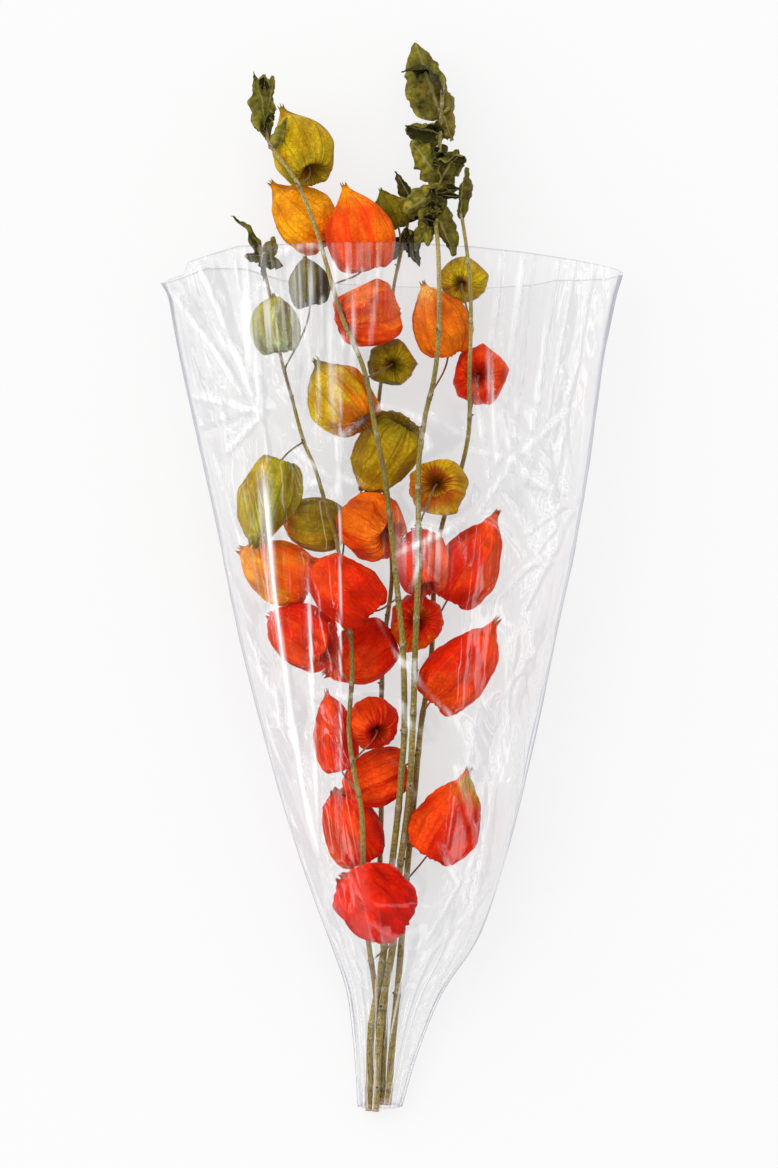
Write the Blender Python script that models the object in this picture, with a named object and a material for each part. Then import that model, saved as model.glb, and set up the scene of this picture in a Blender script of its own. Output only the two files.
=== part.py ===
"""A bouquet of dried Chinese lanterns in a clear film sleeve, lying on its back.

The model is in metres. +Z points up from the surface that the bouquet lies on, and +Y
runs from the cut stem ends to the leafy tops. The origin is on the surface, under the
middle of the bouquet. Places and sizes in the tables are in millimetres.
"""

import math
import random

import bmesh
import bpy
from mathutils import Vector

MM = 0.001
CLEARANCE = 1.0

LANTERN_RIBS = 10
LANTERN_SIDES = 2 * LANTERN_RIBS
RIB_HEIGHT = 0.045
MAIN_RIB_EXTRA = 0.03
DENT = 0.035
# Half profile of a lantern, as shares of its widest radius and of its length: the
# sunken floor round the stalk, the rim of the base, the belly and the drawn-out tip.
LANTERN_PROFILE = (
    (0.14, 0.11),
    (0.44, 0.0),
    (0.84, 0.11),
    (1.0, 0.33),
    (0.91, 0.56),
    (0.62, 0.76),
    (0.20, 0.90),
)
CAVITY_FLOOR = 0.13

STEM_SIDES = 6
STEM_RING_GAP = 25.0
NODE_SWELLING = 1.18
NODE_REACH = 7.0
PEDICEL_SIDES = 4
PEDICEL_RINGS = 6
PEDICEL_RADIUS = 0.8
# How a lantern's stalk bends: the share of the way to the lantern at which it leaves the
# stem, and its straight run into the lantern, as shares of the lantern's length and of
# the distance from the stem.
PEDICEL_LEAVING = 0.22
PEDICEL_RUN_BY_LENGTH = 0.24
PEDICEL_RUN_BY_GAP = 0.36

LEAF_THICKNESS = 0.8
LEAF_ROOT = 1.5
LEAF_LEAST_HALF_WIDTH = 0.9
LEAF_ROW_LENGTH = 9.0
FEWEST_LEAF_ROWS = 4
LEAF_COLUMNS = 3
LEAF_WAVE = 0.2

FILM_THICKNESS = 0.6
FILM_COLUMNS = 36
FOLD_COUNT = 11
FOLD_HEIGHT = 1.6
FULLY_FOLDED_HALF_WIDTH = 60.0
# Powers that shape the sleeve's section: how square its sides are, how round its front
# is, and how quickly its underside turns flat.
SIDE_POWER = 0.86
FRONT_POWER = 0.78
UNDERSIDE_POWER = 0.8
UNDERSIDE_SPREAD = 1.25
MOUTH_POWER = 0.6

# Base colour, roughness and metallic value of each material.
FINISHES = {
    "lantern_red": ((0.84, 0.07, 0.015), 0.62, 0.0),
    "lantern_orange": ((0.92, 0.22, 0.01), 0.62, 0.0),
    "lantern_amber": ((0.86, 0.40, 0.01), 0.64, 0.0),
    "lantern_olive": ((0.38, 0.30, 0.02), 0.66, 0.0),
    "lantern_green": ((0.12, 0.14, 0.02), 0.70, 0.0),
    "lantern_lime": ((0.52, 0.50, 0.05), 0.66, 0.0),
    "stem_bark": ((0.25, 0.22, 0.06), 0.55, 0.0),
    "clear_film": ((0.95, 0.96, 0.98), 0.08, 0.0),
}

# Name, middle, way from base to tip, length, width, finish, the stem that carries it and
# how far up that stem its stalk starts.
LANTERNS = (
    ("lantern_01", (-60, 284, 42), (-0.30, 0.76, -0.56), 53, 40, "lantern_olive", "stem_1", 255),
    ("lantern_02", (-60, 240, 29), (-0.70, 0.70, -0.10), 50, 40, "lantern_amber", "stem_1", 214),
    ("lantern_03", (-22, 228, 58), (-0.22, 0.96, 0.02), 54, 44, "lantern_orange", "stem_1", 190),
    ("lantern_04", (-55, 196, 30), (-0.10, 0.97, -0.20), 34, 27, "lantern_green", "stem_5", 138),
    ("lantern_05", (-77, 168, 34), (-0.18, 0.97, -0.10), 38, 32, "lantern_lime", "stem_5", 120),
    ("lantern_06", (-11, 173, 58), (0.90, 0.22, -0.30), 46, 43, "lantern_red", "stem_1", 152),
    ("lantern_07", (30, 170, 52), (-0.30, 0.94, 0.12), 48, 38, "lantern_orange", "stem_2", 118),
    ("lantern_08", (47, 197, 30), (0.10, 0.30, -0.92), 36, 31, "lantern_olive", "stem_3", 166),
    ("lantern_09", (58, 134, 35), (0.10, 0.10, -0.97), 42, 38, "lantern_red", "stem_3", 106),
    ("lantern_10", (0, 142, 31), (0.00, 0.12, -0.97), 34, 31, "lantern_green", "stem_1", 130),
    ("lantern_11", (-36, 121, 53), (-0.64, 0.70, -0.30), 54, 44, "lantern_amber", "stem_1", 92),
    ("lantern_12", (-5, 82, 38), (-0.50, -0.80, -0.33), 50, 43, "lantern_olive", "stem_2", 98),
    ("lantern_13", (31, 60, 42), (0.12, -0.10, -0.97), 44, 38, "lantern_olive", "stem_2", 34),
    ("lantern_14", (-81, 52, 56), (-0.32, -0.94, -0.05), 54, 39, "lantern_lime", "stem_5", 91),
    ("lantern_15", (-53, 37, 24), (-0.97, 0.12, -0.05), 42, 35, "lantern_olive", "stem_5", 8),
    ("lantern_16", (-15, 37, 41), (-0.62, 0.38, -0.68), 46, 42, "lantern_orange", "stem_1", 6),
    ("lantern_17", (19.5, 14, 50), (-0.10, 0.85, -0.50), 46, 34, "lantern_red", "stem_2", -26),
    ("lantern_18", (53, 14, 26), (0.52, 0.83, 0.10), 62, 42, "lantern_red", "stem_3", -32),
    ("lantern_19", (-76, 6, 35), (-0.84, 0.45, -0.05), 50, 41, "lantern_orange", "stem_5", -36),
    ("lantern_20", (-32, -4, 68), (-0.70, 0.66, 0.10), 52, 42, "lantern_red", "stem_1", -12),
    ("lantern_21", (-61, -35, 50), (-0.78, 0.50, -0.36), 50, 38, "lantern_red", "stem_5", -68),
    ("lantern_22", (15, -29, 36), (-0.12, -0.12, -0.96), 42, 36, "lantern_orange", "stem_2", -60),
    ("lantern_23", (47, -55, 42), (0.66, 0.72, 0.10), 64, 43, "lantern_red", "stem_3", -88),
    ("lantern_24", (-22, -50, 32), (-0.76, -0.54, 0.36), 48, 40, "lantern_red", "stem_4", -24),
    ("lantern_25", (-14, -91, 39), (-0.25, 0.40, -0.88), 42, 32, "lantern_red", "stem_5", -118),
    ("lantern_26", (-38, -98, 27), (-0.15, 0.97, 0.05), 54, 28, "lantern_red", "stem_5", -138),
    ("lantern_27", (-12, -131, 28), (-0.90, -0.38, 0.10), 46, 34, "lantern_red", "stem_3", -112),
    ("lantern_28", (-29, -161, 21), (-0.45, 0.88, 0.05), 52, 37, "lantern_red", "stem_5", -212),
    ("lantern_29", (38.5, -154, 36), (0.50, 0.86, 0.08), 58, 43, "lantern_red", "stem_3", -198),
    ("lantern_30", (-14, -208, 49), (-0.70, 0.66, 0.16), 52, 45, "lantern_red", "stem_5", -252),
    ("lantern_31", (-2, 243, 36), (-0.45, 0.88, 0.05), 28, 23, "lantern_green", "stem_4", 206),
)

# Radius at the cut end and at the tip, then the line that each stem follows upwards.
STEMS = {
    "stem_1": (
        (2.5, 1.1),
        (
            (-16, -350, 3.8), (-14, -300, 5.8), (-9.5, -270, 9.8), (-5, -240, 14),
            (-1, -195, 24), (4, -150, 42), (6, -125, 48), (8, -95, 51), (7, -45, 63), (4, -13, 66),
            (0, 26, 69), (-4.5, 65, 71), (-11, 98, 73), (-18, 135, 76), (-33, 172, 75),
            (-49, 226, 67), (-62, 258, 66), (-79, 282, 62), (-82, 300, 58), (-83, 328, 54),
        ),
    ),
    "stem_2": (
        (2.5, 1.2),
        (
            (-11, -350, 7.6), (-8.5, -300, 9.6), (-4.6, -270, 12.6), (0.4, -240, 15.5),
            (4.4, -195, 23), (10, -150, 42), (12, -125, 49), (14, -78, 56), (15, -39, 65),
            (17, 13, 74), (17, 71, 71), (21, 104, 71), (27, 130, 74), (30, 160, 76), (30, 208, 68),
            (28, 238, 56), (30, 268, 48), (32, 300, 44), (33, 324, 44),
        ),
    ),
    "stem_3": (
        (2.3, 1.1),
        (
            (-2.8, -346, 6.4), (0.6, -300, 7.2), (3.6, -270, 8.0), (6, -240, 9.6), (9.5, -195, 14),
            (14.5, -143, 22), (19, -95, 22), (25, -60, 11), (27, -25, 8.5), (28, 10, 6),
            (34, 40, 8), (44, 68, 18), (50, 98, 46), (50, 134, 66), (51, 172, 68), (49, 208, 62),
            (45, 238, 52),
        ),
    ),
    "stem_4": (
        (2.0, 1.0),
        (
            (-6.6, -346, 3.6), (-5, -300, 3.8), (-4.6, -270, 5.4), (-6, -240, 7), (-8, -195, 6),
            (-7, -143, 5), (-7, -78, 6), (-5, -39, 6), (0, 6, 8), (-5, 60, 9), (-9, 112, 9),
            (-3, 156, 7), (1, 192, 12), (6, 215, 20), (10, 232, 27), (12, 250, 31),
        ),
    ),
    "stem_5": (
        (1.9, 1.0),
        (
            (-10.6, -345, 2.8), (-9.2, -300, 2.7), (-11.2, -270, 4.0), (-15.3, -240, 9),
            (-18, -212, 17), (-19, -195, 27), (-19, -176, 42), (-20, -150, 50), (-25, -122, 54),
            (-28, -97, 54), (-26, -62, 60), (-27, -36, 54), (-31, -4, 40), (-36, 24, 41),
            (-42, 45, 50), (-50, 72, 40), (-58, 91, 25), (-66, 120, 12), (-74, 150, 8),
            (-79, 180, 9), (-84, 205, 24), (-86, 218, 32),
        ),
    ),
}

# The stem, where the leaf starts on it, the way it grows, the way its upper side faces,
# its length and width, and how much it cups across, curls along and twists, in degrees.
LEAVES = (
    ("stem_1", 292, (-0.10, 0.97, 0.15), (-0.7, 0.1, -0.7), 42, 22, 150, 25, 15),
    ("stem_1", 303, (0.40, 0.88, 0.05), (-0.4, 0.1, -0.9), 32, 18, 120, 45, -30),
    ("stem_1", 283, (0.45, 0.87, 0.22), (0.5, 0.1, -0.8), 28, 15, 120, 30, 25),
    ("stem_1", 318, (-0.05, 0.95, 0.30), (0.2, -0.3, 0.9), 27, 10, 130, 120, 60),
    ("stem_2", 302, (-0.30, 0.95, 0.10), (-0.35, -0.05, -0.93), 52.5, 44, 165, 12, 8),
    ("stem_2", 318, (0.10, 0.95, 0.20), (-0.9, -0.2, 0.2), 40, 22, 100, 130, -20),
    ("stem_2", 290, (-0.92, 0.32, 0.22), (0.2, -0.3, 0.9), 35, 22, 110, 60, 40),
    ("stem_2", 308, (0.22, -0.93, 0.30), (0.3, 0.0, -0.95), 25, 16, 140, 20, 10),
    ("stem_2", 268, (0.76, 0.60, 0.20), (0.1, -0.4, 0.9), 28, 22, 100, 70, -30),
    ("stem_2", 262, (-0.50, 0.72, 0.45), (0.1, -0.2, -0.97), 32, 28, 140, 60, 30),
    ("stem_2", 254, (0.40, 0.80, 0.45), (0.2, 0.1, -0.95), 32, 24, 130, 50, -40),
    ("stem_2", 250, (-0.80, -0.42, 0.42), (-0.3, -0.2, -0.95), 26, 30, 165, 30, 10),
    ("stem_2", 256, (-0.10, -0.95, 0.30), (-0.2, -0.1, -0.97), 42, 26, 150, 20, 15),
    ("stem_2", 242, (0.30, -0.92, 0.25), (0.3, -0.1, -0.95), 36, 22, 150, 20, -15),
    ("stem_2", 236, (-0.45, -0.88, 0.10), (-0.3, 0.1, -0.95), 28, 17, 140, 20, 10),
    ("stem_3", 236, (-0.12, 0.98, 0.05), (0.8, -0.1, -0.5), 34, 15, 130, 30, -30),
    ("stem_4", 249, (-0.38, 0.90, 0.15), (-0.3, 0.1, -0.9), 24, 12, 120, 40, 20),
    ("stem_4", 236, (0.45, 0.88, 0.10), (0.5, -0.2, -0.8), 24, 15, 120, 50, -20),
    ("stem_4", 222, (-0.62, -0.70, 0.10), (-0.2, 0.2, -0.95), 27, 16, 140, 30, 10),
    ("stem_4", 228, (0.25, -0.93, 0.20), (0.3, 0.1, -0.9), 26, 15, 140, 30, -20),
    ("stem_5", 206, (0.15, 0.95, 0.25), (-0.95, 0.1, 0.1), 44, 15, 110, 75, -20),
    ("stem_5", 210, (0.35, 0.78, -0.35), (0.1, 0.2, -0.9), 23, 16, 130, 30, 30),
)

# The sleeve from its foot to its mouth: how far up it is, its left and right edges, its
# height above the surface and the height of its side creases.
SLEEVE_STATIONS = (
    (-347, -20.5, 5.0, 18.0, 8.0),
    (-310, -22.5, 10.5, 22.0, 9.0),
    (-272, -27.0, 29.0, 34.0, 11.0),
    (-240, -38.0, 52.0, 62.0, 14.0),
    (-208, -50.0, 65.0, 84.0, 17.0),
    (-160, -66.0, 79.0, 88.0, 19.0),
    (-100, -83.0, 93.0, 94.0, 21.0),
    (-40, -98.0, 105.0, 102.0, 23.0),
    (20, -110.0, 118.0, 104.0, 24.0),
    (80, -123.0, 128.0, 98.0, 25.0),
    (140, -136.0, 136.0, 92.0, 25.0),
    (186, -145.0, 145.0, 90.0, 24.0),
)
# How much further than the last station the mouth's edge runs, at the back, at the two
# side creases and at the front.
MOUTH_BACK = 8.0
MOUTH_LEFT = 7.0
MOUTH_RIGHT = 18.0
MOUTH_FRONT = 34.0
MOUTH_FLARE = 4.5


def finish(name):
    """The material of one of the named finishes."""
    found = bpy.data.materials.get(name)
    if found:
        return found
    colour, roughness, metallic = FINISHES[name]
    made = bpy.data.materials.new(name)
    made.use_nodes = True
    shader = made.node_tree.nodes["Principled BSDF"]
    shader.inputs["Base Color"].default_value = (*colour, 1.0)
    shader.inputs["Roughness"].default_value = roughness
    shader.inputs["Metallic"].default_value = metallic
    if name == "clear_film":
        shader.inputs["Alpha"].default_value = 0.25
    made.diffuse_color = (*colour, 1.0)
    return made


def solid(name, points, faces, material, sharp_angle=50.0):
    """An object with this closed mesh, given in millimetres, its faces pointing out."""
    mesh = bpy.data.meshes.new(name)
    mesh.from_pydata([Vector(p) * MM for p in points], [], faces)
    shape = bmesh.new()
    shape.from_mesh(mesh)
    bmesh.ops.recalc_face_normals(shape, faces=shape.faces)
    shape.to_mesh(mesh)
    shape.free()
    mesh.shade_smooth()
    mesh.set_sharp_from_angle(angle=math.radians(sharp_angle))
    mesh.materials.append(finish(material))
    made = bpy.data.objects.new(name, mesh)
    bpy.context.scene.collection.objects.link(made)
    return made


def axes_along(way):
    """Two unit vectors square to a way and to each other."""
    along = Vector(way).normalized()
    upright = Vector((0.0, 0.0, 1.0)) if abs(along.z) < 0.9 else Vector((0.0, 1.0, 0.0))
    side = along.cross(upright).normalized()
    return side, side.cross(along)


def curve_through(points, steps):
    """A smooth line through the points, with this many steps from each to the next."""
    spots = [Vector(p) for p in points]
    spots = [2 * spots[0] - spots[1], *spots, 2 * spots[-1] - spots[-2]]
    line = []
    for i in range(1, len(spots) - 2):
        a, b, c, d = spots[i - 1: i + 3]
        for k in range(steps):
            t = k / steps
            line.append(
                0.5 * (2 * b + (c - a) * t + (2 * a - 5 * b + 4 * c - d) * t ** 2
                       + (3 * b - a - 3 * c + d) * t ** 3)
            )
    line.append(spots[-2])
    return line


def evenly_spaced(line, gap):
    """The line read again at even distances of about this gap."""
    travelled = [0.0]
    for a, b in zip(line, line[1:]):
        travelled.append(travelled[-1] + (b - a).length)
    count = max(2, round(travelled[-1] / gap))
    spots = []
    i = 0
    for k in range(count + 1):
        wanted = travelled[-1] * k / count
        while i < len(line) - 2 and travelled[i + 1] < wanted:
            i += 1
        share = (wanted - travelled[i]) / (travelled[i + 1] - travelled[i])
        spots.append(line[i].lerp(line[i + 1], min(1.0, share)))
    return spots


def tube(name, line, radii, sides, material):
    """A closed round rod along a line, with one radius for each of its points."""
    points = []
    faces = []
    side, up = axes_along(line[1] - line[0])
    for i, spot in enumerate(line):
        before = line[max(0, i - 1)]
        after = line[min(len(line) - 1, i + 1)]
        along = (after - before).normalized()
        side = (side - along * side.dot(along)).normalized()
        up = along.cross(side)
        for k in range(sides):
            angle = math.tau * k / sides
            points.append(spot + (side * math.cos(angle) + up * math.sin(angle)) * radii[i])
    for i in range(len(line) - 1):
        for k in range(sides):
            a = i * sides + k
            b = i * sides + (k + 1) % sides
            faces.append((a, b, b + sides, a + sides))
    faces.append(tuple(range(sides)))
    faces.append(tuple(range(len(points) - sides, len(points))))
    return solid(name, points, faces, material)


def lantern(name, middle, way, length, width, material):
    """A papery husk: ten ribs, a sunken base and a drawn-out tip."""
    draw = random.Random(name)
    along = Vector(way).normalized()
    side, up = axes_along(way)
    base = Vector(middle) - along * length / 2
    turn = draw.uniform(0.0, math.tau)
    lean = draw.uniform(0.0, math.tau)
    points = [base + along * length * CAVITY_FLOOR]
    for share, reach in LANTERN_PROFILE:
        fullness = min(1.0, share)
        for k in range(LANTERN_SIDES):
            angle = math.tau * k / LANTERN_SIDES
            rib = RIB_HEIGHT * math.cos(LANTERN_RIBS * angle)
            rib += MAIN_RIB_EXTRA * math.cos(LANTERN_RIBS / 2 * angle)
            dent = DENT * math.sin(2 * angle + lean)
            radius = width / 2 * share * (1 + (rib + dent) * fullness)
            out = side * math.cos(angle + turn) + up * math.sin(angle + turn)
            points.append(base + along * length * reach + out * radius)
    points.append(base + along * length)
    faces = []
    last = len(LANTERN_PROFILE) - 1
    for k in range(LANTERN_SIDES):
        after = (k + 1) % LANTERN_SIDES
        faces.append((0, 1 + after, 1 + k))
        for ring in range(last):
            low = 1 + ring * LANTERN_SIDES
            high = low + LANTERN_SIDES
            faces.append((low + k, low + after, high + after, high + k))
        rim = 1 + last * LANTERN_SIDES
        faces.append((rim + k, rim + after, len(points) - 1))
    return solid(name, points, faces, material, 40.0)


def spot_at(line, distance_up):
    """Where a stem's line passes this far up the bouquet."""
    for a, b in zip(line, line[1:]):
        if a.y <= distance_up <= b.y:
            return a.lerp(b, (distance_up - a.y) / (b.y - a.y))
    return line[-1].copy()


def stem_line(name):
    """A stem's centre line, finely divided."""
    return curve_through(STEMS[name][1], 8)


def pedicel(name, start, lantern_row):
    """The thin stalk from a stem to the floor of a lantern's sunken base."""
    _, middle, way, length, width, *_ = lantern_row
    along = Vector(way).normalized()
    floor = Vector(middle) - along * length * (0.5 - CAVITY_FLOOR)
    end = floor - along * CLEARANCE
    gap = (end - start).length
    reach = max(length * PEDICEL_RUN_BY_LENGTH, gap * PEDICEL_RUN_BY_GAP)
    leave = start + (end - start) * PEDICEL_LEAVING
    arrive = end - along * reach
    line = []
    for i in range(PEDICEL_RINGS):
        t = i / (PEDICEL_RINGS - 1)
        line.append(
            start * (1 - t) ** 3 + leave * 3 * t * (1 - t) ** 2
            + arrive * 3 * t * t * (1 - t) + end * t ** 3
        )
    radii = [PEDICEL_RADIUS] * len(line)
    return tube(name, line, radii, PEDICEL_SIDES, "stem_bark")


def leaf(name, start, way, facing, length, width, cup, curl, twist):
    """A dried leaf: a thin blade, cupped across, curled along its length and twisted."""
    draw = random.Random(name)
    along = Vector(way).normalized()
    up = Vector(facing)
    up = (up - along * up.dot(along)).normalized()
    side = along.cross(up)
    spine = Vector(start) - along * LEAF_ROOT
    rows = max(FEWEST_LEAF_ROWS, round(length / LEAF_ROW_LENGTH))
    step = length / rows
    wave = draw.uniform(0.0, math.tau)
    top = []
    bottom = []
    for i in range(rows + 1):
        t = i / rows
        outline = math.sin(math.pi * min(1.0, 0.06 + 0.94 * t) ** 0.8) ** 0.75
        half = max(LEAF_LEAST_HALF_WIDTH, width / 2 * outline * draw.uniform(0.86, 1.08))
        turned = math.radians(twist) * t
        across = side * math.cos(turned) + up * math.sin(turned)
        rise = up * math.cos(turned) - side * math.sin(turned)
        bend = math.radians(cup) / 2 * min(1.0, 3 * t)
        for j in range(LEAF_COLUMNS + 1):
            s = 2 * j / LEAF_COLUMNS - 1
            angle = max(0.05, bend) * s
            radius = half / max(0.05, bend)
            ripple = LEAF_WAVE * half * s * s * math.sin(7 * t + wave + s)
            place = spine + across * radius * math.sin(angle)
            place += rise * (radius * (1 - math.cos(angle)) + ripple)
            normal = rise * math.cos(angle) - across * math.sin(angle)
            top.append(place + normal * LEAF_THICKNESS / 2)
            bottom.append(place - normal * LEAF_THICKNESS / 2)
        turn_now = math.radians(curl) / rows
        along, up = (
            along * math.cos(turn_now) + up * math.sin(turn_now),
            up * math.cos(turn_now) - along * math.sin(turn_now),
        )
        spine = spine + along * step
    points = top + bottom
    columns = LEAF_COLUMNS + 1
    under = len(top)
    faces = []
    for i in range(rows):
        for j in range(LEAF_COLUMNS):
            a = i * columns + j
            b, c, d = a + 1, a + 1 + columns, a + columns
            faces += [(a, b, c), (a, c, d)]
            faces += [(under + c, under + b, under + a), (under + d, under + c, under + a)]
    for j in range(LEAF_COLUMNS):
        near = j
        far = rows * columns + j
        faces.append((near + 1, near, under + near, under + near + 1))
        faces.append((far, far + 1, under + far + 1, under + far))
    for i in range(rows):
        left = i * columns
        right = left + LEAF_COLUMNS
        faces.append((left, left + columns, under + left + columns, under + left))
        faces.append((right + columns, right, under + right, under + right + columns))
    return solid(name, points, faces, "stem_bark")


def keep_outer_body(made):
    """Fills the hollows that joining has sealed in and drops loose scraps."""
    shape = bmesh.new()
    shape.from_mesh(made.data)
    unseen = set(shape.verts)
    bodies = []
    while unseen:
        body = set()
        edge = [unseen.pop()]
        while edge:
            vert = edge.pop()
            body.add(vert)
            for link in vert.link_edges:
                other = link.other_vert(vert)
                if other in unseen:
                    unseen.remove(other)
                    edge.append(other)
        bodies.append(body)
    outer = max(bodies, key=len)
    scraps = [vert for vert in shape.verts if vert not in outer]
    bmesh.ops.delete(shape, geom=scraps, context="VERTS")
    shape.to_mesh(made.data)
    shape.free()


def joined(base, pieces):
    """The base with its pieces fused to it as one solid."""
    if not pieces:
        return base
    group = bpy.data.collections.new(base.name + "_pieces")
    bpy.context.scene.collection.children.link(group)
    for piece in pieces:
        bpy.context.scene.collection.objects.unlink(piece)
        group.objects.link(piece)
    union = base.modifiers.new("fuse", "BOOLEAN")
    union.operation = "UNION"
    union.operand_type = "COLLECTION"
    union.collection = group
    union.solver = "MANIFOLD"
    bpy.context.view_layer.objects.active = base
    with bpy.context.temp_override(object=base, active_object=base):
        bpy.ops.object.modifier_apply(modifier=union.name)
    for piece in pieces:
        bpy.data.objects.remove(piece)
    bpy.data.collections.remove(group)
    keep_outer_body(base)
    return base


def stem(name):
    """A stem with its nodes, its lanterns' stalks and its dried leaves, as one body."""
    (foot_radius, tip_radius), _ = STEMS[name]
    line = stem_line(name)
    rings = evenly_spaced(line, STEM_RING_GAP)
    held = [row for row in LANTERNS if row[6] == name]
    nodes = [row[7] for row in held]
    radii = []
    for i, spot in enumerate(rings):
        share = i / (len(rings) - 1)
        radius = foot_radius + (tip_radius - foot_radius) * share
        if any(abs(spot.y - node) < NODE_REACH for node in nodes):
            radius *= NODE_SWELLING
        radii.append(radius)
    base = tube(name, rings, radii, STEM_SIDES, "stem_bark")
    pieces = []
    for row in held:
        pieces.append(pedicel("stalk_of_" + row[0], spot_at(line, row[7]), row))
    for number, (carrier, up_stem, *shape) in enumerate(LEAVES):
        if carrier == name:
            pieces.append(leaf(f"leaf_{number}", spot_at(line, up_stem), *shape))
    return joined(base, pieces)


def sleeve_section(station, angle, inset):
    """A point of the sleeve's section. Angle 0 is its right crease and 90 its front."""
    up_bouquet, left, right, height, crease = station
    half = (right - left) / 2 - inset
    middle = (right + left) / 2
    c, s = math.cos(angle), math.sin(angle)
    x = middle + half * math.copysign(abs(c) ** SIDE_POWER, c)
    if s >= 0:
        fold = FOLD_HEIGHT * math.sin(angle * FOLD_COUNT) * min(1.0, half / FULLY_FOLDED_HALF_WIDTH)
        z = crease + (height - crease - inset) * s ** FRONT_POWER + fold * s
    else:
        flat = min(1.0, UNDERSIDE_SPREAD * abs(s)) ** UNDERSIDE_POWER
        z = inset + (crease - inset) * (1 - flat)
    return x, up_bouquet, z


def mouth_reach(angle):
    """How far past the last station the mouth's edge runs at this angle."""
    s = math.sin(angle)
    side = MOUTH_RIGHT if math.cos(angle) > 0 else MOUTH_LEFT
    end = MOUTH_FRONT if s > 0 else MOUTH_BACK
    return side + (end - side) * abs(s) ** MOUTH_POWER


def sleeve():
    """The clear film: one thin closed wall, open at its foot and at its mouth."""
    stations = [*SLEEVE_STATIONS, SLEEVE_STATIONS[-1]]
    last = len(stations) - 1
    shells = []
    for inset in (0.0, FILM_THICKNESS):
        shell = []
        for i, station in enumerate(stations):
            for k in range(FILM_COLUMNS):
                angle = math.tau * k / FILM_COLUMNS
                x, y, z = sleeve_section(station, angle, inset)
                if i == last:
                    y += mouth_reach(angle)
                    x += MOUTH_FLARE * math.copysign(abs(math.cos(angle)), math.cos(angle))
                shell.append((x, y, z))
        shells.append(shell)
    points = shells[0] + shells[1]
    inner = len(shells[0])
    faces = []
    for i in range(last):
        for k in range(FILM_COLUMNS):
            a = i * FILM_COLUMNS + k
            b = i * FILM_COLUMNS + (k + 1) % FILM_COLUMNS
            c, d = b + FILM_COLUMNS, a + FILM_COLUMNS
            faces += [(a, b, c), (a, c, d)]
            faces += [(inner + c, inner + b, inner + a), (inner + d, inner + c, inner + a)]
    for k in range(FILM_COLUMNS):
        after = (k + 1) % FILM_COLUMNS
        top = last * FILM_COLUMNS
        faces.append((after, k, inner + k, inner + after))
        faces.append((top + k, top + after, inner + top + after, inner + top + k))
    return solid("sleeve", points, faces, "clear_film", 60.0)


def main():
    """Clears the scene and builds the bouquet."""
    for old in list(bpy.data.objects):
        bpy.data.objects.remove(old)
    for name, middle, way, length, width, material, _, _ in LANTERNS:
        lantern(name, middle, way, length, width, material)
    for name in STEMS:
        stem(name)
    sleeve()


main()
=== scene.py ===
"""Looks of a bouquet of dried Chinese lanterns that lies in a clear film sleeve.

Places and sizes in the tables are in millimetres, in the frame of the part: +Z points up
from the surface that the bouquet lies on, and +Y runs from the cut ends to the leafy tops.
"""

import itertools
import math
import random

import bpy
import numpy as np
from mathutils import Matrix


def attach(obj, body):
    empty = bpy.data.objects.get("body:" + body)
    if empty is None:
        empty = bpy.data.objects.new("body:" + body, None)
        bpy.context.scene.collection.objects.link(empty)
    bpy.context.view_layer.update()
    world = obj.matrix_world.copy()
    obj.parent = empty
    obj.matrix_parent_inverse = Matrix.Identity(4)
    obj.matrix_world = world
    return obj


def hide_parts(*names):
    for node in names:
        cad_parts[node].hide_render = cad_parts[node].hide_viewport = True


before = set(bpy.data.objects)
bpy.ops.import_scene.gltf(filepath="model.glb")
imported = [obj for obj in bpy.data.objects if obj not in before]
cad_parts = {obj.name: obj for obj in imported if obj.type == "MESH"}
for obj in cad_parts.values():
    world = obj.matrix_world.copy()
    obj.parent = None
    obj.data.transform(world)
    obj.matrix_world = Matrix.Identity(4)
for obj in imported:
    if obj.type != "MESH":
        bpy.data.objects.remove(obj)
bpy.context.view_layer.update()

MM = 0.001

# Palette of the husks, as linear colours.
RED = (0.88, 0.025, 0.002)
SCARLET = (0.76, 0.010, 0.002)
DEEP_RED = (0.62, 0.014, 0.003)
ORANGE_RED = (0.93, 0.080, 0.005)
ORANGE = (0.94, 0.200, 0.005)
AMBER = (0.92, 0.360, 0.006)
PALE_AMBER = (0.90, 0.480, 0.090)
GOLD = (0.56, 0.330, 0.008)
YELLOW = (0.72, 0.450, 0.006)
OLIVE = (0.30, 0.200, 0.006)
RUST = (0.55, 0.130, 0.008)
MOSS = (0.170, 0.140, 0.006)
DARK_MOSS = (0.060, 0.050, 0.005)
LIME = (0.44, 0.370, 0.022)
PALE_GREEN = (0.42, 0.460, 0.180)

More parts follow.
